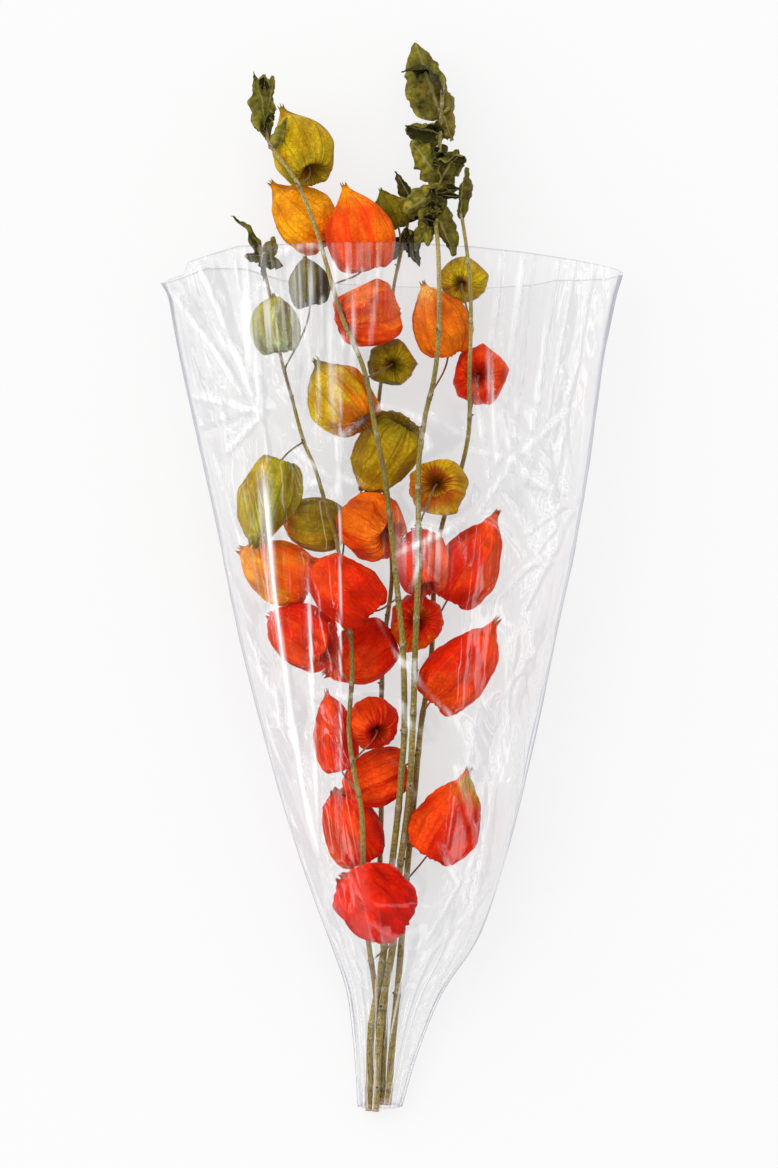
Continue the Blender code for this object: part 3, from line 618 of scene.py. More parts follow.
def bark_material():
    """Dry stem: olive to tan streaks along it, pale and dark scars at its nodes, painted light on one side
    and painted shade on the other.
    """
    n = Nodes(bpy.data.materials.new("dry_stem"))
    tint = n.colour_of("tint")
    across, up = n.way()
    streak = n.streaks(across, up, 9.0, 26.0, 5.0, 0.65)
    place = n.add("TexCoord").outputs["Object"]
    speck = n.noise(place, 900.0, 2.0)
    shade = n.ramp(streak, 0.34, 0.66, 0.50, 1.65)
    # Painted light and shade: one side of the stem is lighter and the other darker.
    painted_side_light = n.math("SINE", n.times(across, math.tau))
    shade = n.times(shade, n.ramp(painted_side_light, -1.0, 1.0, 0.72, 1.35))
    colour = n.shaded(tint, shade)
    patch = n.noise(place, 42.0, 3.0)
    colour = n.mix(n.ramp(patch, 0.52, 0.68, 0.0, 0.55), colour, (0.16, 0.075, 0.045))
    colour = n.mix(n.ramp(speck, 0.62, 0.75, 0.0, 0.5), colour, (0.05, 0.035, 0.015))
    bump = n.bump(streak, 0.6, 0.0004)
    body = n.solid(colour, 0.48, 0.35, bump)
    return n.close(body.outputs[0])


def leaf_material():
    """Dried leaf: olive with pale ribs and darker, browner blotches."""
    n = Nodes(bpy.data.materials.new("dry_leaf"))
    tint = n.colour_of("tint")
    across, up = n.way()
    from_middle = n.away(across, 0.5)
    midrib = n.ramp(from_middle, 0.012, 0.05, 1.0, 0.0)
    lean = n.minus(n.times(up, 9.0), n.times(from_middle, 6.0))
    beat = n.away(n.math("FRACT", lean), 0.5)
    side_vein = n.ramp(beat, 0.0, 0.07, 1.0, 0.0)
    place = n.add("TexCoord").outputs["Object"]
    blotch = n.noise(place, 260.0, 5.0, 0.6)
    shade = n.ramp(blotch, 0.34, 0.66, 0.62, 1.38)
    colour = n.shaded(tint, shade)
    vein = n.math("MAXIMUM", midrib, n.times(side_vein, 0.45))
    colour = n.mix(n.times(vein, 0.7), colour, (0.30, 0.27, 0.09))
    relief = n.plus(n.times(vein, 0.8), blotch)
    bump = n.bump(relief, 0.7, 0.0008)
    body = n.solid(colour, 0.6, 0.12, bump)
    return n.close(n.lit_through(body, colour, bump, 0.12))


def film_material():
    """Clear film: it shows what is behind it and mirrors the lights on its creases."""
    n = Nodes(bpy.data.materials.new("clear_film"))
    streaky, painted_veil, glare = n.add("SeparateColor", {0: n.colour_of("detail")}).outputs
    across, up = n.way()
    # Fine lines along the pleats, on top of those of the surface itself.
    lines = n.streaks(across, up, 84.0, 4.0, 1.0)
    ridges = n.ramp(n.away(lines, 0.5), 0.0, 0.045, 1.0, 0.0)
    bump = n.bump(n.times(ridges, streaky), 1.0, 0.001)
    slant = n.add("LayerWeight", {"Blend": 0.5}).outputs["Facing"]
    mirror = n.plus(0.045, n.times(n.math("POWER", slant, 5.0), 0.95))
    haze = n.mix(n.math("POWER", slant, 2.0), (1.0, 1.0, 1.0), (0.88, 0.88, 0.90))
    haze = n.mix(1.0, haze, n.colour_of("tint"), "MULTIPLY")
    through = n.add("BsdfTransparent", {"Color": haze})
    gloss = n.add("BsdfGlossy", {"Color": (1.0, 1.0, 1.0, 1.0), "Roughness": 0.015, "Normal": bump})
    clear = n.add("MixShader", {0: mirror, 1: through.outputs[0], 2: gloss.outputs[0]})
    # Painted reflection: where layers of film lie over each other a milky white veil is painted, with
    # painted white streaks of glare.
    painted_white_veil = n.add("BsdfDiffuse", {"Color": (0.9, 0.9, 0.9, 1.0)})
    streaked = n.times(painted_veil, n.ramp(lines, 0.42, 0.60, 0.25, 2.4))
    white = n.plus(streaked, n.times(glare, n.ramp(lines, 0.30, 0.62, 0.35, 1.5)))
    mixed = n.add("MixShader", {0: white, 1: clear.outputs[0], 2: painted_white_veil.outputs[0]})
    return n.close(mixed.outputs[0])


def floor_material():
    """A white table that glows a little, so that shadows on it are faint."""
    n = Nodes(bpy.data.materials.new("white_table"))
    matt = n.add("BsdfDiffuse", {"Color": (0.20, 0.20, 0.20, 1.0)})
    glow = n.add("Emission", {"Color": (1.0, 1.0, 1.0, 1.0), "Strength": 0.70})
    both = n.add("AddShader", {0: matt.outputs[0], 1: glow.outputs[0]})
    return n.close(both.outputs[0])


def husk_surface(row, crumple):
    """The points of a husk's surface, their share of its length and how creased they are."""
    name, middle, way, length, width, *_ = row
    draw = random.Random(name)
    along = unit(way)
    side, up = axes_along(way)
    base = np.array(middle, float) - along * length / 2
    turn = draw.uniform(0.0, math.tau)
    lean = draw.uniform(0.0, math.tau)
    seed = draw.randrange(10000)
    number = int(name[-2:])
    blunt = BLUNTNESS.get(number, 0.0)
    points = blunt * np.array(BLUNT_PROFILE) + (1 - blunt) * np.array(HUSK_PROFILE)
    profile = resampled(curve_through(points, 12), HUSK_ROWS)
    share, reach = profile[:, :1], profile[:, 1:]
    angle = math.tau * np.arange(HUSK_COLUMNS)[None] / HUSK_COLUMNS
    evenly = np.ones_like(share * angle)
    full = np.minimum(1.0, share)
    rib = RIB_HEIGHT * (1.4 * np.abs(np.cos(RIBS / 2 * angle)) ** 6 - 0.5)
    keel = KEEL_HEIGHT * (2.0 * np.abs(np.cos(RIBS / 4 * angle)) ** 4 - 0.7) * (0.5 + 0.5 * crumple)
    dent = DENT * np.sin(2 * angle + lean)
    pleat = RIM_PLEATS * np.abs(np.cos(1.5 * RIBS * angle)) * smooth_step(0.40, 0.0, reach) * (share > 0.2)
    radius = width / 2 * share * (1 + (rib + keel + dent - pleat) * full)
    out = side * np.cos(angle + turn)[..., None] + up * np.sin(angle + turn)[..., None]
    tooth = np.maximum(0.0, np.cos(RIBS / 2 * angle)) ** 3 * smooth_step(0.93, 0.965, reach)
    rise = reach + TOOTH_LENGTH * tooth
    radius = radius + width * TOOTH_SPREAD * tooth
    grid = base + along * (length * rise)[..., None] + out * radius[..., None]
    # Creases and wrinkles, least at the floor of the base and at the tip. Those that run
    # from base to tip are longer.
    local = grid - base
    spread = np.stack([local @ side / 13.0, local @ up / 13.0, local @ along / 24.0], -1)
    free = smooth_step(0.05, 0.40, share) * evenly
    normals = grid_normals(grid, True)
    if (normals[HUSK_ROWS // 2] * out[0]).sum() < 0:
        normals = -normals
    creased = 2.0 * (facets(spread, seed) - 0.78) + 0.9 * (facets(spread * 2.3, seed + 9) - 0.78)
    ring = np.stack([np.cos(angle) * evenly, np.sin(angle) * evenly, reach * evenly], -1)
    wrinkles = 1 - 2 * np.abs(noise(ring * (7.0, 7.0, 1.6), seed + 20))
    wrinkles = wrinkles * smooth_step(0.95, 0.1, reach)
    fine = 1 - 2 * np.abs(noise(ring * (15.0, 15.0, 3.0), seed + 22))
    lift = crumple * (1.15 * creased + 0.6 * wrinkles) + 0.26 * fine + 1.0 * noise(ring * 1.6, seed + 24)
    grid = grid + normals * (free * lift)[..., None]
    # Cheeks where the thin paper has been pressed flat, or in, which leaves a curved fold.
    centre = base + along * length * 0.45
    for _ in range(2 + round(3 * crumple)):
        push = unit([draw.gauss(0, 1), draw.gauss(0, 1), draw.gauss(0, 1)])
        push = unit(push - along * (push @ along) * 0.7)
        depth = (grid - centre) @ push
        limit = depth.max() * draw.uniform(*CHEEK_LIMITS)
        strength = draw.choice(CHEEK_STRENGTHS)
        grid = grid - push * (np.maximum(0.0, depth - limit) * strength)[..., None]
    bow = TIP_BOWS.get(number)
    if bow is None:
        bow = unit([draw.gauss(0, 1), draw.gauss(0, 1), 0.3])
        bow = (bow - along * (bow @ along)) * length * 0.07
    grid = grid + np.array(bow) * (smooth_step(0.66, 1.04, reach) ** 1.6 * evenly)[..., None]
    return grid, reach * evenly, share * evenly, creased + 0.5 * wrinkles


def blended(a, b, share):
    """Two colours mixed at each point."""
    return np.asarray(a, float) + (np.asarray(b, float) - a) * np.asarray(share)[..., None]


def husk(row, look, material):
    """One lantern's husk, on the same ribs, base and tip as its solid."""
    name, middle, way, length, _, slot, *_ = row
    base_tint, belly_tint, tip_tint, vein_tint, flush_tint, flush_side, crumple = look
    along = unit(way)
    grid, reach, share, creased = husk_surface(row, crumple)
    flat = grid.reshape(-1, 3)
    poles = [
        np.array(middle, float) - along * length * (0.5 - HUSK_DEPTH),
        grid[-1].mean(0) - along * length * TOOTH_LENGTH,
    ]
    faces, corners = grid_faces(HUSK_ROWS, HUSK_COLUMNS, True)
    last = (HUSK_ROWS - 1) * HUSK_COLUMNS
    for k in range(HUSK_COLUMNS):
        after = (k + 1) % HUSK_COLUMNS
        u, v = k / HUSK_COLUMNS, (k + 1) / HUSK_COLUMNS
        faces.append((len(flat), after, k))
        corners += [(u, 0.0), (v, 0.0), (u, 0.0)]
        faces.append((last + k, last + after, len(flat) + 1))
        corners += [(u, 1.0), (v, 1.0), (u, 1.0)]
    normals = grid_normals(grid, True)
    middle_row = HUSK_ROWS // 2
    if ((grid[middle_row] - grid[middle_row].mean(0)) * normals[middle_row]).sum() < 0:
        normals = -normals
    tint = blended(base_tint, belly_tint, smooth_step(0.02, 0.28, reach))
    tint = blended(tint, tip_tint, smooth_step(0.66, 0.92, reach))
    facing = normals @ unit(flush_side) + 0.45 * noise(grid / 14.0, 77)
    tint = blended(tint, flush_tint, 0.85 * smooth_step(0.10, 0.75, facing))
    # Painted light and shade: the tint is lighter on the crests of the creases and darker in their hollows.
    tint = tint * (1 + np.clip(creased, -1.2, 1.2)[..., None] * CREASE_PAINTED_LIGHT_AND_SHADE)
    # Painted shade in the sunken base round the stalk, on the paper and on its veins.
    sunken = smooth_step(0.62, 0.05, share) * (reach < 0.5)
    tint = tint * (1 - sunken[..., None] * HOLLOW_PAINTED_SHADE)
    tint = blended(tint, DRY_TIP, 0.75 * smooth_step(0.955, 1.0, reach + 0.03))
    vein = np.array(vein_tint) * (1 - 0.6 * sunken)[..., None]
    tints = {
        "tint": np.vstack([tint.reshape(-1, 3), tint[0, 0], tint[-1, 0]]),
        "vein": np.vstack([vein.reshape(-1, 3), vein[0, 0], vein[-1, 0]]),
    }
    made = piece("husk_" + name[-2:], np.vstack([flat, poles]), faces, material, corners, tints)
    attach(made, "root")
    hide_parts(name)


class Bundle:
    """Points, faces and colours of several shapes that make one piece."""

    def __init__(self):
        self.points = []
        self.faces = []
        self.corners = []
        self.tints = []

    def add(self, points, faces, corners, tints):
        """Adds one shape."""
        first = sum(len(p) for p in self.points)
        self.points.append(np.asarray(points, float).reshape(-1, 3))
        self.faces += [tuple(first + i for i in face) for face in faces]
        self.corners += corners
        self.tints.append(np.broadcast_to(tints, (len(self.points[-1]), 3)))

    def make(self, name, material, node):
        """The piece, which stands for a node."""
        made = piece(
            name, np.vstack(self.points), self.faces, material, self.corners,
            {"tint": np.vstack(self.tints)},
        )
        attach(made, "root")
        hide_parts(node)


def add_tube(bundle, line, radii, sides, tints, map_length=40.0):
    """A closed round rod along a line. Radii may differ by side."""
    count = len(line)
    along = unit(np.gradient(line, axis=0))
    side, _ = axes_along(along[0])
    rings = []
    angle = math.tau * np.arange(sides) / sides
    for i in range(count):
        side = unit(side - along[i] * (side @ along[i]))
        other = np.cross(along[i], side)
        radius = np.broadcast_to(radii[i], sides)
        to_side, to_other = np.cos(angle) * radius, np.sin(angle) * radius
        rings.append(line[i] + side * to_side[:, None] + other * to_other[:, None])
    points = np.vstack([*rings, line[:1], line[-1:]])
    faces, corners = grid_faces(count, sides, True)
    run = np.linalg.norm(np.diff(line, axis=0), axis=1).sum()
    corners = [(u, v * run / map_length) for u, v in corners]
    ends = len(points) - 2
    last = (count - 1) * sides
    for k in range(sides):
        after = (k + 1) % sides
        faces.append((ends, after, k))
        faces.append((last + k, last + after, ends + 1))
        corners += [(0.5, 0.0)] * 6
    tints = np.asarray(tints, float)
    if tints.ndim == 2:
        tints = np.vstack([np.repeat(tints, sides, axis=0), tints[:1], tints[-1:]])
    bundle.add(points, faces, corners, tints)


def spot_at(line, distance_up):
    """Where a stem's line passes this far up the bouquet."""
    for a, b in zip(line, line[1:]):
        if a[1] <= distance_up <= b[1]:
            return a + (b - a) * (distance_up - a[1]) / (b[1] - a[1])
    return line[-1].copy()


def stem_line(name):
    """A stem's centre line, finely divided."""
    return curve_through(STEMS[name][1], 8)


def stalk_line(start, row):
    """The line of the thin stalk from a stem to the floor of a husk's base."""
    _, middle, way, length, *_ = row
    along = unit(way)
    end = np.array(middle, float) - along * length * (0.5 - HUSK_FLOOR)
    gap = np.linalg.norm(end - along - start)
    run = max(length * STALK_RUN_BY_LENGTH, gap * STALK_RUN_BY_GAP)
    leave = start + (end - start) * STALK_LEAVING
    arrive = end - along * run
    t = np.linspace(0.0, 1.0, 22)[:, None]
    return start * (1 - t) ** 3 + leave * 3 * t * (1 - t) ** 2 + arrive * 3 * t * t * (1 - t) + end * t ** 3


STEM_LOW = np.array((0.34, 0.25, 0.055))
STEM_HIGH = np.array((0.37, 0.29, 0.080))
STEM_OLIVE = np.array((0.28, 0.21, 0.030))
SCAR_PALE = np.array((0.55, 0.47, 0.30))
SCAR_DARK = np.array((0.05, 0.035, 0.02))
STALK_RED = np.array((0.42, 0.06, 0.02))
STALK_TAN = np.array((0.22, 0.16, 0.07))
CUT_END = np.array((0.55, 0.38, 0.26))


def stem(name, material):
    """A stem with swollen nodes, scars, broken stubs and its lanterns' thin stalks."""
    draw = random.Random("bark of " + name)
    (foot_radius, tip_radius), _ = STEMS[name]
    coarse = stem_line(name)
    run = np.linalg.norm(np.diff(coarse, axis=0), axis=1).sum()
    line = resampled(coarse, round(run / STEM_RING_GAP))
    held = [row for row in LANTERNS if row[6] == name]
    carried = [row[7] for row in held] + [row[1] for row in LEAVES if row[0] == name]
    nodes = sorted(carried)
    place = FIRST_SCAR
    while place < line[-1, 1] - 15:
        if all(abs(place - node) > SCAR_CLEARANCE for node in carried):
            nodes.append(place)
        place += draw.uniform(*SCAR_GAPS)
    share = np.linspace(0.0, 1.0, len(line))
    radius = foot_radius + (tip_radius - foot_radius) * share
    swell = np.zeros(len(line))
    pale = np.zeros(len(line))
    dark = np.zeros(len(line))
    for node in nodes:
        away = line[:, 1] - node
        swell = np.maximum(swell, 0.15 * np.exp(-(away / 2.6) ** 2))
        pale = np.maximum(pale, np.exp(-((away - 1.6) / 1.5) ** 2))
        dark = np.maximum(dark, np.exp(-((away + 1.2) / 1.1) ** 2))
    angle = math.tau * np.arange(STEM_SIDES) / STEM_SIDES
    ridges = 1 + 0.07 * np.cos(STEM_RIDGES * angle)[None] * np.ones((len(line), 1))
    radii = (radius * (1 + swell))[:, None] * ridges
    mix = smooth_step(0.1, 0.55, share)[:, None]
    tint = STEM_LOW + (STEM_OLIVE - STEM_LOW) * mix
    tint = tint + (STEM_HIGH - tint) * smooth_step(0.55, 0.9, share)[:, None]
    wander = noise(np.stack([line[:, 1] / 26.0, share * 0, share * 0], -1), draw.randrange(999))
    tint = tint * (1 + 0.25 * wander)[:, None]
    tint = tint + (SCAR_PALE - tint) * 0.6 * pale[:, None]
    tint = tint + (SCAR_DARK - tint) * 0.6 * dark[:, None]
    tint[:2] = CUT_END
    bark = Bundle()
    add_tube(bark, line, radii, STEM_SIDES, tint)
    for node in nodes:
        spot = spot_at(coarse, node)
        size = foot_radius + (tip_radius - foot_radius) * (node + 350) / 700
        swing = draw.uniform(0, math.tau)
        away = np.array((math.cos(swing), 0.5, abs(math.sin(swing)) + 0.1))
        long = draw.uniform(*STUB_LENGTHS) + size
        twig = spot + unit(away) * np.linspace(0.3, long, 6)[:, None]
        thick = np.linspace(0.5, 0.30, 6) * size
        thick[-1] *= 0.6
        stub = np.linspace(0.0, 1.0, 6)[:, None]
        add_tube(bark, twig, thick, 8, STEM_OLIVE + (SCAR_DARK - STEM_OLIVE) * stub ** 2)
    for row in held:
        path = stalk_line(spot_at(coarse, row[7]), row)
        t = np.linspace(0.0, 1.0, len(path))
        thick = STALK_RADIUS * (1 + 0.9 * np.exp(-(t / 0.06) ** 2) + 0.8 * np.exp(-((1 - t) / 0.05) ** 2))
        ruddy = row[5] in ("lantern_red", "lantern_orange")
        shade = np.where(ruddy, STALK_RED, STALK_TAN)
        tone = STALK_TAN + (shade - STALK_TAN) * smooth_step(0.1, 0.8, t)[:, None]
        add_tube(bark, path, thick, 8, tone)
    bark.make("bark_" + name[-1], material, name)


LEAF_UPPER = np.array((0.070, 0.062, 0.006))
LEAF_UNDER = np.array((0.155, 0.132, 0.012))
LEAF_BROWN = np.array((0.15, 0.085, 0.016))
# Colour of the painted highlight along the edges of the leaves.
LEAF_EDGE_PAINTED_HIGHLIGHT = np.array((0.30, 0.26, 0.07))
# How dark the leaves are that aren't as light as most, by their row in the table.
LEAF_AGES = {
    5: 0.22, 6: 0.7, 8: 0.8, 10: 0.55, 13: 0.7, 15: 0.6, 16: 0.3, 17: 0.28, 18: 0.22, 19: 0.25, 20: 0.7,
}
SCRAP_AGES = (0.2, 0.45, 0.8, 1.0, 1.3)
# Small curled leaves that fill the clusters: stem, lowest and highest place, how many.
LEAF_SCRAPS = (
    ("stem_1", 286, 318, 5),
    ("stem_2", 230, 278, 24),
    ("stem_2", 276, 312, 6),
    ("stem_4", 222, 248, 7),
    ("stem_5", 204, 216, 3),
)


def add_leaf(bundle, label, age, start, way, facing, length, width, cup, curl, twist):
    """A dried, crumpled leaf: the same bends as in its solid, with finer edges."""
    draw = random.Random(label)
    along = unit(way)
    up = np.array(facing, float)
    up = unit(up - along * (up @ along))
    side = np.cross(along, up)
    spine = np.array(start, float) - along * LEAF_ROOT
    seed = draw.randrange(9999)
    wave = draw.uniform(0.0, math.tau)
    step = length / LEAF_ROWS
    turn_now = math.radians(curl) / LEAF_ROWS
    s = np.linspace(-1.0, 1.0, LEAF_COLUMNS + 1)
    places = []
    normals = []
    for i in range(LEAF_ROWS + 1):
        t = i / LEAF_ROWS
        outline = math.sin(math.pi * min(1.0, 0.03 + 0.97 * t) ** 0.8) ** 0.75
        ragged = 1 + 0.05 * math.sin(17 * t + wave) + 0.03 * draw.uniform(-1, 1)
        half = max(0.7, width / 2 * outline * ragged)
        turned = math.radians(twist) * t
        across = side * math.cos(turned) + up * math.sin(turned)
        rise = up * math.cos(turned) - side * math.sin(turned)
        bend = max(0.05, math.radians(min(cup * MORE_CUPPED, WIDEST_CUP)) / 2 * min(1.0, 3 * t))
        angle = bend * s
        radius = half / bend
        ripple = 0.2 * half * s * s * np.sin(7 * t + wave + s)
        ripple = ripple + 0.10 * half * np.abs(s) ** 1.5 * np.sin(19 * t + 2 * wave + 2 * s)
        place = spine + across * (radius * np.sin(angle))[:, None]
        place = place + rise * (radius * (1 - np.cos(angle)) + ripple)[:, None]
        places.append(place)
        normals.append(rise * np.cos(angle)[:, None] - across * np.sin(angle)[:, None])
        along, up = (
            along * math.cos(turn_now) + up * math.sin(turn_now),
            up * math.cos(turn_now) - along * math.sin(turn_now),
        )
        spine = spine + along * step
    places = np.array(places)
    normals = np.array(normals)
    crumple = 2.4 * (facets(places / 9.0, seed) - 0.75) + 1.5 * (facets(places / 3.8, seed + 5) - 0.75)
    fade = smooth_step(0.0, 0.15, np.arange(LEAF_ROWS + 1) / LEAF_ROWS)[:, None]
    places = places + normals * (crumple * fade)[..., None]
    normals = grid_normals(places, False) * np.sign(
        (grid_normals(places, False) * normals).sum(-1, keepdims=True) + 1e-9
    )
    top = places + normals * LEAF_THICKNESS / 2
    bottom = places - normals * LEAF_THICKNESS / 2
    rows, columns = LEAF_ROWS + 1, LEAF_COLUMNS + 1
    faces, corners = grid_faces(rows, columns, False)
    under_faces, under_corners = grid_faces(rows, columns, False, rows * columns)
    faces += [face[::-1] for face in under_faces]
    for c in range(0, len(under_corners), 4):
        corners += under_corners[c: c + 4][::-1]
    count = rows * columns
    edge = [k for k in range(columns)]
    edge += [i * columns + columns - 1 for i in range(1, rows)]
    edge += [count - 1 - k for k in range(1, columns)]
    edge += [i * columns for i in range(rows - 2, 0, -1)]
    for a, b in zip(edge, edge[1:] + edge[:1]):
        faces.append((b, a, count + a, count + b))
        corners += [(0.0, 0.5)] * 4
    brown = smooth_step(0.0, 0.8, noise(places / 11.0, seed + 8))[..., None] * 0.5
    # Painted light and shade from the crumples: the upper side is lighter on its ridges and darker in its
    # folds, and the underside the other way round.
    fold = np.clip(1 + 0.42 * crumple, 0.20, 1.75)[..., None]
    # Painted highlight along the edges of a leaf, on both of its sides.
    rim = smooth_step(0.72, 1.0, np.abs(s))[None, :, None] * np.ones((rows, 1, 1))
    # Painted shade inside the leaf's cup: its upper side is darker towards the midrib.
    painted_cup_shade = (0.45 + 0.75 * np.abs(s) ** 1.5)[None, :, None]
    upper = (LEAF_UPPER + (LEAF_BROWN - LEAF_UPPER) * brown) * fold * painted_cup_shade
    under = (LEAF_UNDER + (LEAF_BROWN - LEAF_UNDER) * brown) * np.clip(2.0 - fold, 0.25, 1.8)
    upper = (upper + (LEAF_EDGE_PAINTED_HIGHLIGHT - upper) * 0.55 * rim) * age
    under = (under + (LEAF_EDGE_PAINTED_HIGHLIGHT - under) * 0.45 * rim) * age
    tints = np.vstack([upper.reshape(-1, 3), under.reshape(-1, 3)])
    bundle.add(np.vstack([top.reshape(-1, 3), bottom.reshape(-1, 3)]), faces, corners, tints)


def leaves(name, material):
    """All the leaves of one stem as one piece."""
    line = stem_line(name)
    bundle = Bundle()
    for number, (carrier, up_stem, *shape) in enumerate(LEAVES):
        if carrier == name:
            age = LEAF_AGES.get(number, 1.0)
            add_leaf(bundle, f"leaf_{number}", age, spot_at(line, up_stem), *shape)
    for number, (carrier, low, high, count) in enumerate(LEAF_SCRAPS):
        draw = random.Random(f"scraps {number}")
        for k in range(count if carrier == name else 0):
            way = (draw.gauss(0, 1), draw.gauss(0.3, 0.8), draw.uniform(-0.1, 0.6))
            facing = (draw.gauss(0, 0.7), draw.gauss(0, 0.7), draw.choice((-1, 1)))
            long = draw.uniform(12, 20)
            bends = (draw.uniform(110, 200), draw.uniform(30, 150), draw.uniform(-60, 60))
            start = spot_at(line, draw.uniform(low, high))
            age = draw.choice(SCRAP_AGES)
            add_leaf(bundle, f"scrap {number} {k}", age, start, way, facing, long, long * 0.6, *bends)
    if bundle.points:
        bundle.make("leaves_" + name[-1], material, name)


def sleeve_section(station, angle):
    """The sleeve's section as x and z. Angle 0 is its right crease and 90 its front."""
    _, left, right, height, crease = station
    half = (right - left) / 2
    c, s = np.cos(angle), np.sin(angle)
    x = (right + left) / 2 + half * np.sign(c) * np.abs(c) ** SIDE_POWER
    fold = FOLD_HEIGHT * np.sin(angle * FOLD_COUNT) * min(1.0, half / FULLY_FOLDED_HALF_WIDTH)
    front = crease + (height - crease) * np.maximum(s, 0) ** FRONT_POWER + fold * s
    flat = np.minimum(1.0, UNDERSIDE_SPREAD * np.abs(s)) ** UNDERSIDE_POWER
    return x, np.where(s >= 0, front, crease * (1 - flat))


def mouth_reach(x, front):
    """How far past the last station the mouth's edge runs at this place."""
    edge = np.array(MOUTH_FRONT if front else MOUTH_BACK, float)
    return np.interp(x, edge[:, 0], edge[:, 1])


def film_grid(first_angle, columns, gap, mouth_rows):
    """Half of the sleeve's smooth surface: its points and their angles in the section."""
    stations = curve_through(SLEEVE_STATIONS, 10)
    ups = np.arange(SLEEVE_STATIONS[0][0], SLEEVE_STATIONS[-1][0], gap)
    rows = [[np.interp(y, stations[:, 0], stations[:, k]) for k in range(5)] for y in ups]
    rows += [list(SLEEVE_STATIONS[-1])] * mouth_rows
    fine = np.linspace(first_angle, first_angle + math.pi, SECTION_STEPS)
    grid = []
    angles = []
    for i, station in enumerate(rows):
        x, z = sleeve_section(station, fine)
        run = np.concatenate([[0.0], np.cumsum(np.hypot(np.diff(x), np.diff(z)))])
        wanted = np.linspace(0.0, run[-1], columns)
        angle = np.interp(wanted, run, fine)
        px, pz = np.interp(wanted, run, x), np.interp(wanted, run, z)
        past = max(0.0, (i - len(ups) + 1) / mouth_rows)
        py = station[0] + past * mouth_reach(px, first_angle == 0)
        px = px + past * MOUTH_FLARE * np.cos(angle)
        grid.append(np.stack([px, py, pz], -1))
        angles.append(angle)
    return np.array(grid), np.array(angles)


# Creases pressed into the front of the sleeve: start, end, half width and height.
CREASES = (
    # the fan from the mouth's left corner down to one point
    ((-144, 190), (-86, 106), 3.2, 1.3), ((-136, 196), (-88, 108), 2.4, -1.0),
    ((-124, 200), (-86, 110), 3.0, 1.3), ((-113, 206), (-85, 112), 2.2, -0.9),
    ((-102, 208), (-84, 114), 3.0, 1.2), ((-94, 210), (-83, 112), 2.2, 1.0),
    ((-128, 120), (-86, 108), 4.0, 1.4), ((-126, 96), (-88, 106), 4.0, -1.2),
    ((-112, 122), (-106, 84), 4.5, 1.3), ((-106, 84), (-84, 106), 3.6, 1.4),
    ((-84, 106), (-74, 40), 2.4, 1.0), ((-116, 84), (-96, 20), 4.0, 1.1),
    # long folds down the left half
    ((-78, 60), (-74, -10), 4.5, 1.1), ((-76, 15), (-58, -140), 3.0, 1.0),
    ((-58, -140), (-50, -178), 3.0, 1.0), ((-54, 0), (-48, -168), 2.2, 0.9),
    ((-34, 160), (-34, -165), 1.6, 0.6), ((-92, 30), (-66, -110), 3.0, 0.9),
    ((-60, 214), (-64, 140), 2.0, 0.8), ((-52, 216), (-55, 110), 1.8, 0.7),
    ((-44, 216), (-46, 96), 2.0, 0.8), ((-36, 216), (-40, 120), 1.6, 0.6),
    ((-28, 216), (-34, 80), 2.6, 0.9), ((-18, 216), (-24, 130), 2.0, 0.7),
    ((-6, 216), (-12, 150), 1.6, 0.5),
    # pleats of the right half, which lean to the left as they run down
    ((70, 212), (60, 120), 2.6, 1.0), ((84, 210), (66, 70), 3.4, 1.2),
    ((94, 208), (80, 84), 2.6, -0.9), ((106, 206), (84, 60), 3.6, 1.2),
    ((118, 204), (98, 96), 3.0, 1.0), ((130, 200), (108, 70), 3.2, 1.0),
    ((52, 130), (62, 60), 2.6, 0.9),
    # the stars of the right half
    ((76, 76), (120, 42), 4.0, 1.6), ((76, 76), (56, 44), 4.0, 1.4),
    ((76, 76), (66, 116), 3.6, 1.4), ((76, 76), (114, 108), 4.0, 1.4),
    ((76, 76), (92, 36), 3.6, -1.2), ((76, 76), (48, 84), 3.6, 1.1),
    ((122, 54), (88, 92), 3.4, 1.4), ((122, 54), (92, 62), 3.0, 1.2),
    ((122, 54), (86, 30), 3.4, 1.4), ((122, 54), (112, 104), 3.0, 1.1),
    ((122, 54), (84, -20), 3.4, 1.3), ((110, 40), (72, -10), 3.0, 1.1),
    ((104, 20), (60, -12), 3.4, 1.2), ((112, 20), (96, -70), 3.4, 1.2),
    ((84, 26), (100, 8), 3.0, 1.0), ((84, 8), (106, 12), 3.0, 1.0),
    ((72, -50), (82, -140), 4.0, 1.2), ((86, -30), (78, -80), 3.4, -1.0),
    ((96, -40), (74, -72), 3.0, 1.0),
    # the flap that lies over the middle
    ((6, 18), (44, 36), 4.0, 1.7), ((4, 26), (28, 2), 3.4, 1.5), ((26, 34), (12, -6), 3.4, 1.5),
    ((34, 44), (46, 14), 3.0, 1.2),
    # folds near the foot
    ((40, -120), (60, -190), 4.0, 1.3), ((60, -130), (44, -215), 4.0, 1.3),
    ((30, -170), (52, -218), 3.4, 1.2), ((52, -178), (20, -236), 3.0, 1.2),
    ((66, -196), (8, -262), 3.0, 1.1), ((-46, -214), (-16, -266), 3.0, 1.0),
    ((-56, -150), (-40, -216), 3.0, 1.0), ((-92, -50), (-70, -80), 3.4, 1.3),
    ((-84, -76), (-72, -120), 3.0, 1.1), ((-78, -96), (-64, -92), 3.0, 1.0),
)


def streaks(x, y, rows, square):
    """The summed heights of straight streaks, with square or else with sharp middles."""
    total = np.zeros_like(x)
    for (ax, ay), (bx, by), width, height in rows:
        long = math.hypot(bx - ax, by - ay)
        ux, uy = (bx - ax) / long, (by - ay) / long
        t = (x - ax) * ux + (y - ay) * uy
        off = np.abs((x - ax) * uy - (y - ay) * ux)
        taper = 0.3 * long if square else 8.0
        fade = smooth_step(-8, taper, t) * smooth_step(long + 8, long - taper, t)
        shape = smooth_step(1.6, 0.4, off / width) if square else np.maximum(0.0, 1 - off / width)
        total += height * fade * shape
    return total


